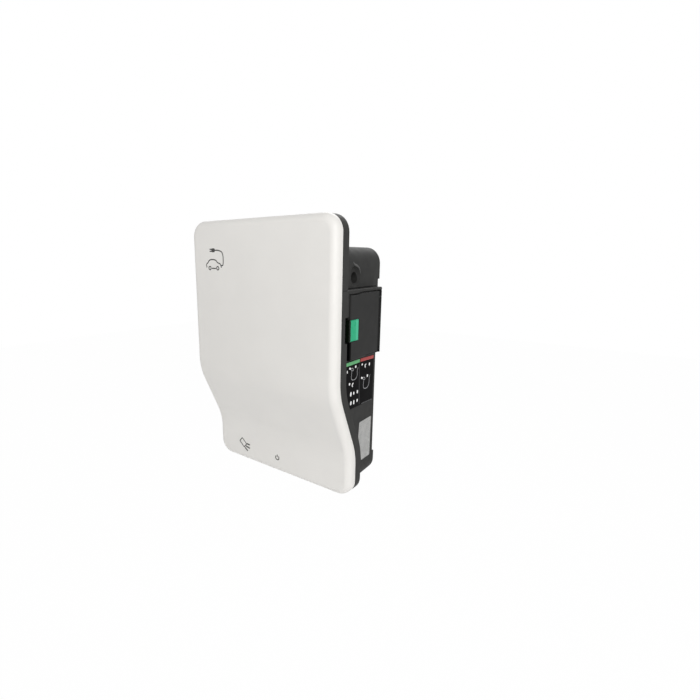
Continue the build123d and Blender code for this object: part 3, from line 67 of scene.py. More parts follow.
def combine(tree, operation, first, second):
    """Math node on two values; each is a number or an output socket."""
    made = tree.nodes.new("ShaderNodeMath")
    made.operation = operation
    for slot, value in enumerate((first, second)):
        if isinstance(value, bpy.types.NodeSocket):
            tree.links.new(value, made.inputs[slot])
        else:
            made.inputs[slot].default_value = value
    return made.outputs[0]


def mix_colours(material, factor, first, second):
    """Colour between first and second; each is a colour or an output socket."""
    links = material.node_tree.links
    blend = material.node_tree.nodes.new("ShaderNodeMix")
    blend.data_type = "RGBA"
    links.new(factor, blend.inputs[0])
    for slot, colour in ((6, first), (7, second)):
        if isinstance(colour, bpy.types.NodeSocket):
            links.new(colour, blend.inputs[slot])
        else:
            blend.inputs[slot].default_value = (*colour, 1.0)
    return blend.outputs[2]


def grain_bump(material, where, scale, lift, normal=None):
    """Fine noise raised as bump by lift metres, on top of a given normal."""
    links = material.node_tree.links
    grain = add_node(material, "ShaderNodeTexNoise", Scale=scale, Detail=2.0)
    links.new(where, grain.inputs["Vector"])
    bump = add_node(material, "ShaderNodeBump", Strength=0.6, Distance=lift)
    links.new(grain.outputs["Fac"], bump.inputs["Height"])
    if normal is not None:
        links.new(normal, bump.inputs["Normal"])
    return bump.outputs["Normal"]


def rounded_edges(material, radius):
    """Normal that rolls over edges within radius, and a mask that is one on those edges."""
    links = material.node_tree.links
    roll = add_node(material, "ShaderNodeBevel", Radius=radius)
    roll.samples = 4
    face = add_node(material, "ShaderNodeNewGeometry")
    agree = material.node_tree.nodes.new("ShaderNodeVectorMath")
    agree.operation = "DOT_PRODUCT"
    links.new(roll.outputs["Normal"], agree.inputs[0])
    links.new(face.outputs["Normal"], agree.inputs[1])
    edge = add_node(material, "ShaderNodeMapRange",
                    From_Min=0.99, From_Max=0.8, To_Min=0.0, To_Max=1.0)
    links.new(agree.outputs["Value"], edge.inputs["Value"])
    return roll.outputs["Normal"], edge.outputs["Result"]


def moulded(name, colour, rough, grain=2400.0, lift=0.00003, drift=0.08, edge_radius=0.0008,
            pale=1.5, shine=0.08):
    """Moulded plastic: colour drifts with broad noise and pales on edges in patches, as wear and as
    painted highlight, gloss drifts, and a fine grain is raised."""
    material, shader, links, where = blank_finish(name)
    shader.inputs["Specular IOR Level"].default_value = shine
    tone = np.array(colour)
    normal, edge = rounded_edges(material, edge_radius)
    cloud = noise_between(material, where, 16.0, 0.0, 1.0)
    body = mix_colours(material, cloud, tuple(tone * (1 - drift)), tuple(tone * (1 + drift)))
    patches = noise_between(material, where, 55.0, 0.15, 0.75)
    # Edges pale in noise patches, partly as wear and partly as painted highlight.
    rubbed_and_highlit = combine(material.node_tree, "MULTIPLY", edge, patches)
    worn_and_highlit = mix_colours(material, rubbed_and_highlit, body, tuple(np.minimum(tone * pale, 0.9)))
    links.new(worn_and_highlit, shader.inputs["Base Color"])
    gloss = noise_between(material, where, 70.0, rough - 0.05, rough + 0.05)
    links.new(gloss, shader.inputs["Roughness"])
    links.new(grain_bump(material, where, grain, lift, normal), shader.inputs["Normal"])
    return material


def dress(material, *names):
    """Gives the named CAD nodes this finish."""
    for name in names:
        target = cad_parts[name]
        if not target.material_slots:
            target.data.materials.append(material)
        for holder in target.material_slots:
            holder.material = material


def changed_past(material, colour, **limits):
    """Turns a finish to another colour where each named coordinate lies past its limit.
    The name is the axis and over or under: Y_over=0.1 is where Y is more than 0.1."""
    tree = material.node_tree
    shader = tree.nodes["Principled BSDF"]
    body = shader.inputs["Base Color"].links[0].from_socket
    where = add_node(material, "ShaderNodeTexCoord").outputs["Object"]
    split = add_node(material, "ShaderNodeSeparateXYZ")
    tree.links.new(where, split.inputs[0])
    half_blend = 0.0003
    zone = None
    for key, limit in limits.items():
        axis, side = key.split("_")
        soft = half_blend if side == "over" else -half_blend
        past = add_node(material, "ShaderNodeMapRange", From_Min=limit - soft, From_Max=limit + soft)
        tree.links.new(split.outputs[axis], past.inputs["Value"])
        inside = past.outputs["Result"]
        zone = inside if zone is None else combine(tree, "MULTIPLY", zone, inside)
    tree.links.new(mix_colours(material, zone, body, colour), shader.inputs["Base Color"])


# Near-black used as painted shade in gaps and grooves.
painted_gap_shade = (0.002, 0.002, 0.002)
bezel_groove_shade = {"X_over": 0.1, "Y_over": -0.1330, "Z_over": 0.1474, "Z_under": 0.1489}
base_charcoal = moulded("charcoal_base_grain", (0.029, 0.029, 0.028), 0.55, edge_radius=0.0010, pale=2.2)
# Painted shade: a black line on the base's side above the socket bezel, where a groove would lie in
# shadow.
changed_past(base_charcoal, painted_gap_shade, **bezel_groove_shade)
dress(base_charcoal, "rear_base")


# Pocket lip: a low ridge on the right side that runs down to the scooped screw pocket and along its mouth.
# Moulded in one with the base, with a point at both ends; its paler colour is a painted highlight along
# the ridge.
def cell_list(rows, columns, closed):
    """Corner numbers of every cell of a grid, with the columns joined end to start if closed."""
    index = np.arange(rows * columns).reshape(rows, columns)
    if closed:
        index = np.hstack([index, index[:, :1]])
    corners = [index[:-1, :-1], index[:-1, 1:], index[1:, 1:], index[1:, :-1]]
    return np.stack(corners, -1).reshape(-1, 4)


def put_piece(name, shapes, material, body, smooth=False):
    """One mesh from several (points, cells) shapes, riding on a body in a material slot.
    Doubled points are merged so that ends and poles close."""
    starts = np.cumsum([0] + [len(points) for points, cells in shapes])
    points = np.concatenate([points for points, cells in shapes])
    cells = np.concatenate([cells + start for (_, cells), start in zip(shapes, starts)])
    mesh = bpy.data.meshes.new(name)
    mesh.from_pydata(points.tolist(), [], cells.tolist())
    work = bmesh.new()
    work.from_mesh(mesh)
    bmesh.ops.remove_doubles(work, verts=work.verts, dist=1e-7)
    bmesh.ops.dissolve_degenerate(work, edges=work.edges, dist=1e-8)
    bmesh.ops.recalc_face_normals(work, faces=work.faces)
    work.to_mesh(mesh)
    work.free()
    mesh.polygons.foreach_set("use_smooth", np.full(len(mesh.polygons), smooth))
    mesh.materials.append(material)
    made = bpy.data.objects.new(name, mesh)
    bpy.context.scene.collection.objects.link(made)
    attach(made, body)


base_half_width = 0.1455
draft_slope = np.tan(np.radians(3.2))


def on_side(y, z, lift):
    """Point on the drafted right side of the base: X falls by the draft for each step back,
    and lift goes out along the normal."""
    out = np.array([1.0, draft_slope]) / np.hypot(1.0, draft_slope)
    x = base_half_width - y * draft_slope + lift * out[0]
    return np.stack([x, y + lift * out[1], z + 0.0 * lift], -1)


def smooth_line(points, rounds=4):
    """Path with its corners cut again and again, a quarter in from each end of every run."""
    line = np.asarray(points, float)
    for _ in range(rounds):
        near = line[:-1] * 0.75 + line[1:] * 0.25
        far = line[:-1] * 0.25 + line[1:] * 0.75
        cut = np.stack([near, far], 1).reshape(-1, 2)
        line = np.concatenate([line[:1], cut, line[-1:]])
    return line


def square_to(path):
    """Unit vectors square to a flat path, on the left of its run."""
    ahead = np.gradient(path, axis=0)
    ahead /= np.linalg.norm(ahead, axis=1, keepdims=True)
    return np.stack([-ahead[:, 1], ahead[:, 0]], -1)


def tapered_ridge(path, half_width, half_height, around=12):
    """Ridge along a path on the side of the base: an oval section square to it, half sunk in the wall.
    Its size is the sine of pi times the 0.7th power of the way along, nought at both ends."""
    size = np.sin(np.pi * np.linspace(0.0, 1.0, len(path))[:, None] ** 0.7)
    turn = np.linspace(0.0, 2 * np.pi, around, endpoint=False)
    reach = half_width * size * np.cos(turn)
    flat = path[:, None, :] + square_to(path)[:, None, :] * reach[..., None]
    grid = on_side(flat[..., 0], flat[..., 1], half_height * size * np.sin(turn))
    return grid.reshape(-1, 3), cell_list(len(path), around, True)


# Painted highlight: the lip is coloured much paler than the base so that it reads as lit.
lip_painted_highlight = moulded("charcoal_lip_painted_highlight", (0.085, 0.085, 0.083), 0.5, pale=1.3)
lip_points = [(-0.0988, 0.1904), (-0.0950, 0.1866), (-0.0895, 0.1849), (-0.0825, 0.1830),
              (-0.0770, 0.1792), (-0.0738, 0.1736), (-0.0734, 0.1705)]
lip_half_width = 0.0018
lip_height = 0.0007
pocket_lip = tapered_ridge(smooth_line(lip_points), lip_half_width, lip_height)
put_piece("pocket_lip", [pocket_lip], lip_painted_highlight, "housing", smooth=True)


# Instruction label: a black film on the right side below the flap, with a green and a red heading.
# Printed polyester, glued on flat; the ink stands a few hundredths proud.
# The pictures are plain marks: leads with their plugs, arrows and rows of dots.
ink_height = 0.00006


def ink_line(path, width, place):
    """Ribbon of ink: a flat four-cornered section carried along a path, square to it, with closed ends.
    Corner = path point plus or minus half the width along the path's normal, at no height or the ink's."""
    path = np.asarray(path, float)
    side = np.array([-0.5, 0.5, 0.5, -0.5]) * width
    height = np.array([0.0, 0.0, 1.0, 1.0]) * ink_height
    flat = path[:, None, :] + square_to(path)[:, None, :] * side[None, :, None]
    lift = np.broadcast_to(height, flat.shape[:2])
    grid = place(flat[..., 0], flat[..., 1], lift)
    ends = grid[[0, -1]].mean(1, keepdims=True).repeat(4, 1)
    grid = np.concatenate([ends[:1], grid, ends[1:]])
    return grid.reshape(-1, 3), cell_list(len(grid), 4, True)


def turned(angle):
    """Matrix that turns rows of flat points by an angle."""
    return np.array([[np.cos(angle), np.sin(angle)], [-np.sin(angle), np.cos(angle)]])


def ink_field(centre, half, place, power, turn=0.0, count=48):
    """Field of ink: a superellipse filled from its middle to its rim, turned down and closed underneath.
    Rim = half sizes times the signed 2/power powers of cosine and sine of the angle."""
    angle = np.linspace(0.0, 2 * np.pi, count, endpoint=False)
    rim = np.stack([np.cos(angle), np.sin(angle)], -1)
    rim = np.sign(rim) * np.abs(rim) ** (2.0 / power) * np.asarray(half, float)
    reach = np.array([0.0, 1.0, 1.0, 0.0])
    height = np.array([1.0, 1.0, 0.0, 0.0]) * ink_height
    flat = np.asarray(centre, float) + reach[:, None, None] * (rim @ turned(turn))[None]
    lift = np.broadcast_to(height[:, None], flat.shape[:2])
    grid = place(flat[..., 0], flat[..., 1], lift)
    return grid.reshape(-1, 3), cell_list(4, count, True)


label_thickness = 0.0004


def on_label(y, z, lift):
    """Point on the label's face, which lies its thickness outside the side of the base."""
    return on_side(y, z, lift) + (label_thickness, 0.0, 0.0)


def printed_film(name, colour, rough, drift=0.1, shine=0.03):
    """Printed film: a smooth lacquered face, with slight cloud in its ink and a faint ripple
    from the glue."""
    material, shader, links, where = blank_finish(name)
    shader.inputs["Specular IOR Level"].default_value = shine
    tone = np.array(colour)
    cloud = noise_between(material, where, 120.0, 0.0, 1.0, 5.0)
    pale = np.minimum(tone * (1 + drift), 1.0)
    ink = mix_colours(material, cloud, tuple(tone * (1 - drift)), tuple(pale))
    links.new(ink, shader.inputs["Base Color"])
    gloss = noise_between(material, where, 40.0, rough - 0.06, rough + 0.06)
    links.new(gloss, shader.inputs["Roughness"])
    links.new(grain_bump(material, where, 90.0, 0.00002), shader.inputs["Normal"])
    return material


def oval(centre, half, turn, count=32):
    """Closed oval path: half sizes times cosine and sine of the angle, turned about its centre."""
    angle = np.linspace(0.0, 2 * np.pi, count)
    rim = np.stack([half[0] * np.cos(angle), half[1] * np.sin(angle)], -1)
    return np.asarray(centre, float) + rim @ turned(turn)


dress(printed_film("label_black_film", (0.0045, 0.0042, 0.0045), 0.42, shine=0.012), "instruction_label")
heading_green = printed_film("heading_green_ink", (0.150, 0.440, 0.200), 0.42)
heading_red = printed_film("heading_red_ink", (0.420, 0.088, 0.085), 0.42)
mark_white = printed_film("mark_white_ink", (0.900, 0.900, 0.890), 0.45)
mark_grey = printed_film("mark_grey_ink", (0.330, 0.330, 0.340), 0.45)
mark_dark = printed_film("mark_dark_ink", (0.050, 0.049, 0.052), 0.45)
square_corners = 30.0
green_bar = ink_field((-0.0908, 0.0223), (0.0236, 0.0030), on_label, square_corners, -0.022)
put_piece("label_heading_green", [green_bar], heading_green, "housing")
red_bar = ink_field((-0.0394, 0.0205), (0.0256, 0.0029), on_label, square_corners, -0.054)
put_piece("label_heading_red", [red_bar], heading_red, "housing")
label_dots = [(-0.1111, 0.0102, 0.0012, 0.0026), (-0.0818, 0.0138, 0.0021, 0.0022),
              (-0.1024, -0.0127, 0.0023, 0.0022), (-0.0969, -0.0319, 0.0025, 0.0039),
              (-0.0865, -0.0325, 0.0020, 0.0026), (-0.0735, -0.0330, 0.0022, 0.0029),
              (-0.0961, -0.0481, 0.0026, 0.0034), (-0.0857, -0.0490, 0.0020, 0.0039),
              (-0.0735, -0.0490, 0.0021, 0.0026), (-0.0580, 0.0130, 0.0021, 0.0017),
              (-0.0299, 0.0082, 0.0021, 0.0029), (-0.0365, -0.0121, 0.0022, 0.0025)]
round_corners = 3.0
white_marks = [ink_field((y, z), (half_y, half_z), on_label, round_corners)
               for y, z, half_y, half_z in label_dots]
plug_turn = -0.37
plug_corners = 5.0
for head in ((-0.1018, 0.0143), (-0.0577, -0.0116)):
    white_marks.append(ink_field(head, (0.0030, 0.0017), on_label, plug_corners, plug_turn))
arrow_arms = np.array([[0.0055, 0.0024], [0.0, 0.0], [0.0036, -0.0036]])
arrow_width = 0.0023
for tip in ((-0.0945, -0.0160), (-0.0485, 0.0086)):
    white_marks.append(ink_line(smooth_line(arrow_arms + tip, 2), arrow_width, on_label))
put_piece("label_white_marks", white_marks, mark_white, "housing")
lead_left = [(-0.0957, 0.0085), (-0.0955, 0.0045), (-0.0975, -0.0029), (-0.0930, -0.0084),
             (-0.0800, -0.0084), (-0.0750, -0.0020), (-0.0766, 0.0068), (-0.0727, 0.0108)]
lead_right = [(-0.0509, -0.0176), (-0.0514, -0.0241), (-0.0520, -0.0295), (-0.0470, -0.0345),
              (-0.0340, -0.0345), (-0.0288, -0.0280), (-0.0290, -0.0180), (-0.0257, -0.0124)]
lead_width = 0.0012
grey_marks = [ink_line(smooth_line(lead), lead_width, on_label) for lead in (lead_left, lead_right)]
for body in ((-0.0935, 0.0111), (-0.0497, -0.0143)):
    grey_marks.append(ink_line(oval(body, (0.0042, 0.0021), plug_turn), lead_width, on_label))
foot_rule = np.linspace((-0.0569, -0.0594), (-0.0157, -0.0619), 12)
rule_width = 0.0004
grey_marks.append(ink_line(foot_rule, rule_width, on_label))
put_piece("label_grey_marks", grey_marks, mark_grey, "housing")
divider_run = np.linspace((-0.0690, 0.0164), (-0.0655, -0.0585), 12)
divider_width = 0.0020
put_piece("label_divider", [ink_line(divider_run, divider_width, on_label)], mark_dark,
          "housing")


# Rating label: a grey film glued lower on the same side, cut with a bent front edge.
# Polyester with a mottled silver-grey face; rows of broken bars stand for its small print.
def row_print(name, colour, bar_colour):
    """Grey film with rows of broken bars: a saw wave up the label gives the rows,
    and stretched noise breaks them."""
    material, shader, links, where = blank_finish(name)
    split = add_node(material, "ShaderNodeSeparateXYZ")
    links.new(where, split.inputs[0])
    row_height = 0.0021
    rows = combine(material.node_tree, "PINGPONG", split.outputs["Z"], row_height)
    line = add_node(material, "ShaderNodeMapRange",
                    From_Min=0.0010, From_Max=0.0013, To_Min=0.0, To_Max=1.0)
    links.new(rows, line.inputs["Value"])
    stretch = add_node(material, "ShaderNodeMapping", Scale=(1.0, 420.0, 240.0))
    links.new(where, stretch.inputs["Vector"])
    breaks = add_node(material, "ShaderNodeTexNoise", Scale=1.0, Detail=2.0)
    links.new(stretch.outputs["Vector"], breaks.inputs["Vector"])
    gate = add_node(material, "ShaderNodeMapRange",
                    From_Min=0.47, From_Max=0.53, To_Min=0.0, To_Max=0.55)
    links.new(breaks.outputs["Fac"], gate.inputs["Value"])
    bars = combine(material.node_tree, "MULTIPLY", line.outputs["Result"], gate.outputs["Result"])
    tone = np.array(colour)
    mottle = noise_between(material, where, 95.0, 0.0, 1.0, 6.0)
    face = mix_colours(material, mottle, tuple(tone * 0.86), tuple(tone * 1.12))
    links.new(mix_colours(material, bars, face, bar_colour), shader.inputs["Base Color"])
    links.new(noise_between(material, where, 60.0, 0.34, 0.46), shader.inputs["Roughness"])
    links.new(grain_bump(material, where, 90.0, 0.00002), shader.inputs["Normal"])
    return material


dress(row_print("rating_grey_film", (0.37, 0.37, 0.36), (0.12, 0.12, 0.12)), "rating_label")


# Cable grommet: a black rubber ring in the bottom wall, clipped in by its two flanges.
# Soft moulded rubber with a dull bloom; the supply cable would pass through its bore.
def rubber(name, colour, rough):
    """Rubber: dull, with a pale bloom that follows broad noise and a soft skin texture."""
    material, shader, links, where = blank_finish(name)
    tone = np.array(colour)
    bloom = noise_between(material, where, 45.0, 0.0, 1.0, 5.0)
    links.new(mix_colours(material, bloom, tuple(tone), tuple(tone * 1.9)), shader.inputs["Base Color"])
    gloss = noise_between(material, where, 90.0, rough - 0.06, rough + 0.06)
    links.new(gloss, shader.inputs["Roughness"])
    links.new(grain_bump(material, where, 1300.0, 0.00004), shader.inputs["Normal"])
    return material


rubber_black = rubber("rubber_black_dull", (0.010, 0.010, 0.010), 0.72)
dress(rubber_black, "cable_grommet")


# Mounting rail, screws and sheet parts: rolled and zinc-plated steel.
# The rail is bent sheet on the back wall; the screws are cold headed with a hexagon key.
def plated(name, colour, rough, stretch=(60.0, 900.0, 900.0)):
    """Plated or brushed metal: fine noise drawn out in one direction moves its gloss,
    colour and surface."""
    material, shader, links, where = blank_finish(name)
    tone = np.array(colour)
    drawn = add_node(material, "ShaderNodeMapping", Scale=stretch)
    links.new(where, drawn.inputs["Vector"])
    lines = drawn.outputs["Vector"]
    streak = noise_between(material, lines, 1.0, 0.0, 1.0)
    bright = np.minimum(tone * 1.08, 1.0)
    skin = mix_colours(material, streak, tuple(tone * 0.88), tuple(bright))
    links.new(skin, shader.inputs["Base Color"])
    gloss = noise_between(material, lines, 1.0, rough - 0.07, rough + 0.07)
    links.new(gloss, shader.inputs["Roughness"])
    links.new(grain_bump(material, lines, 1.0, 0.00001), shader.inputs["Normal"])
    shader.inputs["Metallic"].default_value = 1.0
    return material


zinc = plated("zinc_plated_steel", (0.60, 0.60, 0.62), 0.34)
dress(zinc, "mounting_rail", "processor_can", "contactor_screws", "terminal_screws", "earth_screws",
      "board_screws", "small_board_screws", "frame_screws", "cover_screws", "side_screws", "socket_screws")


# Contactor, terminal block, leakage sensor and earth bar: the power parts on the back wall.
# Glass-filled polyamide mouldings in two greys and black, and a machined brass bar.
dress(moulded("contactor_grey_nylon", (0.33, 0.34, 0.35), 0.55), "contactor")
dress(moulded("terminal_grey_nylon", (0.43, 0.44, 0.45), 0.55), "terminal_block")
component_black = moulded("component_black_resin", (0.026, 0.026, 0.027), 0.45)
dress(component_black, "leakage_sensor")
dress(plated("earth_bar_brass", (0.70, 0.52, 0.24), 0.28), "earth_terminal")


# Wires: stranded copper in soft insulation, black for the phases and green with yellow for earth.
# They run from the terminal block through the sensor ring to the contactor and on to the socket.
wire_black = rubber("wire_black_jacket", (0.022, 0.022, 0.022), 0.48)
dress(wire_black, "supply_wires", "socket_wires", "signal_wires")


def banded_jacket(name, first, second):
    """Two-coloured insulation: waves across the run change from one colour to the other."""
    material, shader, links, where = blank_finish(name)
    wave = add_node(material, "ShaderNodeTexWave", Scale=70.0, Distortion=1.0)
    links.new(where, wave.inputs["Vector"])
    band = add_node(material, "ShaderNodeMapRange", From_Min=0.45, From_Max=0.55)
    links.new(wave.outputs["Fac"], band.inputs["Value"])
    links.new(mix_colours(material, band.outputs["Result"], first, second), shader.inputs["Base Color"])
    links.new(noise_between(material, where, 90.0, 0.40, 0.52), shader.inputs["Roughness"])
    links.new(grain_bump(material, where, 900.0, 0.00003), shader.inputs["Normal"])
    return material


dress(banded_jacket("earth_jacket", (0.05, 0.30, 0.06), (0.62, 0.55, 0.05)), "earth_wire")


# Control board and small boards: glass-fibre laminate under green lacquer, with tinned pads.
# They stand on plated posts behind the cover and carry a supply, relays, capacitors and connectors.
# A clear moulded guide takes the indicator's light to the cover.
def lacquered_board(name, colour, copper):
    """Circuit board: the edges of random cells show as buried tracks under a glossy lacquer."""
    material, shader, links, where = blank_finish(name)
    tracks = add_node(material, "ShaderNodeTexVoronoi", Scale=190.0)
    tracks.feature = "DISTANCE_TO_EDGE"
    links.new(where, tracks.inputs["Vector"])
    line = add_node(material, "ShaderNodeMapRange",
                    From_Min=0.03, From_Max=0.06, To_Min=0.6, To_Max=0.0)
    links.new(tracks.outputs["Distance"], line.inputs["Value"])
    links.new(mix_colours(material, line.outputs["Result"], colour, copper), shader.inputs["Base Color"])
    links.new(noise_between(material, where, 80.0, 0.26, 0.36), shader.inputs["Roughness"])
    links.new(grain_bump(material, where, 1500.0, 0.00002), shader.inputs["Normal"])
    return material


board_green = lacquered_board("board_green_lacquer", (0.016, 0.150, 0.060), (0.05, 0.27, 0.11))
dress(board_green, "control_board", "reader_board", "indicator_board")
dress(plated("standoff_nickel", (0.68, 0.62, 0.50), 0.3), "board_standoffs")
dress(component_black, "power_supply", "capacitors")
dress(moulded("relay_blue_case", (0.045, 0.11, 0.38), 0.42), "relays")
dress(moulded("connector_white_nylon", (0.74, 0.74, 0.71), 0.5), "board_connectors")
guide_clear = moulded("light_guide_clear", (0.80, 0.86, 0.83), 0.18)
guide_shader = guide_clear.node_tree.nodes["Principled BSDF"]
guide_shader.inputs["Transmission Weight"].default_value = 0.85
dress(guide_clear, "light_guide")


# Vehicle socket: a flanged barrel with a flattened top that takes the car's charging plug.
# Black glass-filled polyamide, with contact carrier, rear cap and lock actuator as separate mouldings.
# Silver-plated sleeves sit in the carrier, and four countersunk screws hold the flange.
socket_black = moulded("socket_black_nylon", (0.020, 0.020, 0.021), 0.5, pale=2.4)
dress(socket_black, "socket_shell", "socket_back", "lock_actuator")
dress(moulded("carrier_black_resin", (0.030, 0.030, 0.032), 0.38, pale=2.2), "contact_carrier")
dress(plated("sleeve_silver", (0.80, 0.77, 0.72), 0.22), "contact_sleeves")
dress(rubber_black, "flange_seal")
bright_steel = plated("pin_ground_steel", (0.64, 0.64, 0.65), 0.22, (900.0, 900.0, 60.0))
dress(bright_steel, "lock_pin")


# Socket bezel: the seat of the flap, with a bevelled rim above it and the hinge knuckles behind.
# Charcoal moulding fitted over the drafted side of the base; the socket screws clamp it.
# It is painted black along the hinge and at the front below the strip: painted shade where it shows only
# through a gap.
bezel_charcoal = moulded("bezel_charcoal_grain", (0.030, 0.030, 0.029), 0.5, pale=2.0)
bezel_hinge_shade = {"Y_over": -0.0345, "Z_under": 0.1425}
bezel_front_shade = {"Y_under": -0.1230, "Z_under": 0.1048}
# Painted shade: black where the bezel lies in the shadow of the hinge gap and of the front gap.
for zone in (bezel_hinge_shade, bezel_front_shade):
    changed_past(bezel_charcoal, painted_gap_shade, **zone)
dress(bezel_charcoal, "socket_bezel", "bezel_strip")
dress(bright_steel, "flap_hinge_pin")


# Flap: the hinged lid over the socket, with its hinge barrel at the rear edge.
# Charcoal moulding, a touch smoother than the base.
# Its rear edge with the hinge, the rear of its foot and its lower front edge are painted black: painted
# shade of the gaps round it.
flap_charcoal = moulded("flap_charcoal", (0.029, 0.029, 0.0285), 0.46, lift=0.00002, shine=0.05)
flap_rear_shade = {"Y_over": -0.0352}
flap_foot_shade = {"Y_over": -0.0750, "Z_under": 0.0352}
flap_front_shade = {"Y_under": -0.1218, "Z_under": 0.0635}
# Painted shade: these three zones are turned near-black.
for zone in (flap_rear_shade, flap_foot_shade, flap_front_shade):
    changed_past(flap_charcoal, painted_gap_shade, **zone)
dress(flap_charcoal, "flap")
dress(rubber_black, "flap_seal")


# Latch: the green rocker that keeps the flap shut, on a steel pin through the flap.
# Glossy through-coloured plastic with bevelled ends; a finger pulls its front leg.
# Its rear third has a painted highlight in a lighter green, and its leg and front edge, deep in the notch,
# are painted nearly black as painted shade.
latch_green = moulded("latch_green_gloss", (0.017, 0.365, 0.180), 0.30, grain=500.0, lift=0.00001,
                      drift=0.05, edge_radius=0.0012, pale=1.6, shine=0.15)
latch_painted_highlight = (0.055, 0.455, 0.260)
latch_shade = (0.003, 0.006, 0.003)
latch_highlit_rear = {"Y_over": -0.1088}
latch_leg = {"X_under": 0.1638}
latch_front_edge = {"Y_under": -0.1247}
# Painted highlight on the rear third; painted shade on the leg and front edge in the notch.
changed_past(latch_green, latch_painted_highlight, **latch_highlit_rear)
for zone in (latch_leg, latch_front_edge):
    changed_past(latch_green, latch_shade, **zone)
dress(latch_green, "latch")
dress(bright_steel, "latch_pin")


# Front frame: the dark band between cover and base, screwed to the rim of the base.
# Charcoal moulding with a finger pocket beside the latch; a black rubber cord seals it.
dress(moulded("frame_charcoal_grain", (0.036, 0.036, 0.0345), 0.5, pale=1.7), "front_frame")
dress(rubber_black, "base_seal")


# Front cover: the pale shell with the stepped face, screwed on from behind.
# Warm white ABS with a satin skin, moulded in one piece with a rounded edge.
cover_white = moulded("cover_warm_white", (0.757, 0.741, 0.712), 0.36, grain=700.0, lift=0.000012,
                      drift=0.012, edge_radius=0.0004, pale=1.04, shine=0.3)
dress(cover_white, "front_cover")


# Print on the cover: thin grey pictures in one ink, pad printed on the flat parts of the face.
# A car on its charging lead at the top left; a card with three strokes and a power sign lower down.
upper_face_y = -0.170
lower_face_y = -0.117


def on_upper_face(x, z, lift):
    """Point on the upper flat of the cover, with lift to the front."""
    return np.stack([x, upper_face_y - lift, z + 0.0 * lift], -1)


def on_lower_face(x, z, lift):
    """Point on the lower flat of the cover, with lift to the front."""
    return np.stack([x, lower_face_y - lift, z + 0.0 * lift], -1)


def ring_part(centre, radius, start, end, count=40):
    """Arc of a circle between two angles in degrees."""
    angle = np.radians(np.linspace(start, end, count))
    return np.asarray(centre, float) + radius * np.stack([np.cos(angle), np.sin(angle)], -1)


ink_grey = printed_film("cover_grey_ink", (0.085, 0.085, 0.082), 0.5)
picture_line = 0.0021
stroke_width = 0.0032
wheel_radius = 0.0030
car = [(-0.1235, 0.1790), (-0.1250, 0.1850), (-0.1200, 0.1875), (-0.1150, 0.1935), (-0.0990, 0.1935),
       (-0.0935, 0.1875), (-0.0860, 0.1862), (-0.0835, 0.1790)]
sill = np.linspace((-0.1100, 0.1775), (-0.0985, 0.1775), 8)
car_lead = [(-0.0835, 0.1830), (-0.0780, 0.1830), (-0.0780, 0.2060), (-0.0900, 0.2100),
            (-0.1000, 0.2100)]
upper_lines = [smooth_line(car), sill, smooth_line(car_lead)]
upper_lines += [ring_part((x, 0.1780), wheel_radius, 0, 360) for x in (-0.1150, -0.0935)]
upper_lines += [np.linspace((-0.1090, z), (-0.1140, z), 6) for z in (0.2082, 0.2118)]
upper_print = [ink_line(line, picture_line, on_upper_face) for line in upper_lines]
upper_print.append(ink_field((-0.1045, 0.2100), (0.0045, 0.0036), on_upper_face, plug_corners))
put_piece("cover_upper_print", upper_print, ink_grey, "housing")
card_turn = -0.72
card_place = (-0.0952, -0.1800)
card_corner = 0.0016
card = np.concatenate([ring_part((sx * 0.0066, sz * 0.0040), card_corner, start, start + 90, 8)
                       for sx, sz, start in ((1, 1, 0), (-1, 1, 90), (-1, -1, 180), (1, -1, 270))])
card = np.concatenate([card, card[:1]]) @ turned(card_turn) + card_place
strokes = [((-0.0848, -0.1803), (-0.0760, -0.1806)), ((-0.0872, -0.1860), (-0.0763, -0.1883)),
           ((-0.0905, -0.1900), (-0.0822, -0.1955))]
power_radius = 0.0043
power_ring = ring_part((-0.0008, -0.1864), power_radius, 130, 410)
power_stem = np.linspace((-0.0008, -0.1850), (-0.0008, -0.1800), 8)
lower_lines = (card, power_ring, power_stem)
lower_print = [ink_line(line, picture_line, on_lower_face) for line in lower_lines]
lower_print += [ink_line(np.linspace(*ends, 8), stroke_width, on_lower_face) for ends in strokes]
put_piece("cover_lower_print", lower_print, ink_grey, "housing")


# Studio: a pale floor well below the box, a white surround, and soft lamps on the right, left and behind.
# The camera stands at the photograph's place, to the right of the box and a little above it.
def stage_floor(name, height, reach):
    """Flat square grid at a given height."""
    count = 9
    side = np.linspace(-reach, reach, count)
    x, y = np.meshgrid(side, side)
    points = np.stack([x, y, np.full_like(x, height)], -1).reshape(-1, 3)
    mesh = bpy.data.meshes.new(name)
    mesh.from_pydata(points.tolist(), [], cell_list(count, count, False).tolist())
    made = bpy.data.objects.new(name, mesh)
    bpy.context.scene.collection.objects.link(made)
    return made


def plain_view(tree):
    """One for rays from the camera and for those that a glossy or a clear surface sends on,
    nought for light."""
    rays = tree.nodes.new("ShaderNodeLightPath")
    total = rays.outputs["Is Camera Ray"]
    for name in ("Is Glossy Ray", "Is Transmission Ray"):
        total = combine(tree, "MAXIMUM", total, rays.outputs[name])
    return total


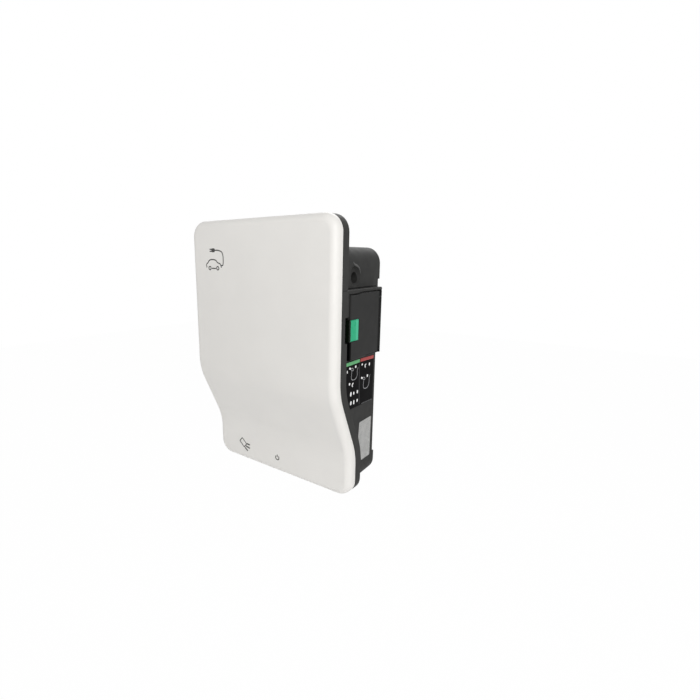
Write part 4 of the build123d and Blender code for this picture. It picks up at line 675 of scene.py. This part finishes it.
floor_height = -0.95
floor_reach = 6.0
floor_white = 0.985
floor = stage_floor("studio_floor", floor_height, floor_reach)
floor_finish, floor_shader, floor_links, floor_where = blank_finish("studio_floor_pale")
floor_shader.inputs["Roughness"].default_value = 0.9
floor_tone = noise_between(floor_finish, floor_where, 2.0, 0.90, 0.92)
floor_links.new(floor_tone, floor_shader.inputs["Base Color"])
glow = add_node(floor_finish, "ShaderNodeEmission", Color=(1.0, 1.0, 1.0, 1.0), Strength=1.0)
floor_tree = floor_finish.node_tree
seen = combine(floor_tree, "MULTIPLY", plain_view(floor_tree), floor_white)
floor_mix = floor_tree.nodes.new("ShaderNodeMixShader")
for slot, source in enumerate((seen, floor_shader.outputs[0], glow.outputs[0])):
    floor_links.new(source, floor_mix.inputs[slot])
floor_links.new(floor_mix.outputs[0], floor_tree.nodes["Material Output"].inputs["Surface"])
floor.data.materials.append(floor_finish)

sky_light = 0.46
sky_seen = 1.0
world = bpy.data.worlds.new("studio_white")
bpy.context.scene.world = world
world.use_nodes = True
sky = world.node_tree.nodes["Background"]
sky.inputs["Color"].default_value = (1.0, 1.0, 1.0, 1.0)
level = world.node_tree.nodes.new("ShaderNodeMapRange")
level.inputs["To Min"].default_value = sky_light
level.inputs["To Max"].default_value = sky_seen
world.node_tree.links.new(plain_view(world.node_tree), level.inputs["Value"])
world.node_tree.links.new(level.outputs["Result"], sky.inputs["Strength"])


def soft_lamp(name, place, aim, size, power):
    """Square area lamp at a place, turned to face a point."""
    lamp = bpy.data.lights.new(name, "AREA")
    lamp.shape = "SQUARE"
    lamp.size = size
    lamp.energy = power
    made = bpy.data.objects.new(name, lamp)
    made.location = place
    made.rotation_euler = (Vector(aim) - Vector(place)).to_track_quat("-Z", "Y").to_euler()
    bpy.context.scene.collection.objects.link(made)


box_middle = (0.0, -0.1, 0.0)
soft_lamp("lamp_right", (1.6, -1.25, 0.65), box_middle, size=1.4, power=28.5)
soft_lamp("lamp_left", (-1.3, -2.0, 0.9), box_middle, size=1.6, power=5.5)
soft_lamp("lamp_back", (-0.6, 1.8, 1.2), box_middle, size=1.6, power=16.0)

picture_width = 700.0
sideways_pixels = 50.0
look_down = 11.871
look_left = 38.577
eye = bpy.data.cameras.new("photo_view")
eye.sensor_width = 36.0
eye.lens = 22.633
eye.shift_x = sideways_pixels / picture_width
camera = bpy.data.objects.new("photo_view", eye)
camera.location = (0.53291, -0.71474, 0.19715)
camera.rotation_euler = np.radians((90.0 - look_down, 0.0, look_left))
bpy.context.scene.collection.objects.link(camera)
bpy.context.scene.camera = camera
bpy.context.scene.view_settings.view_transform = "Standard"
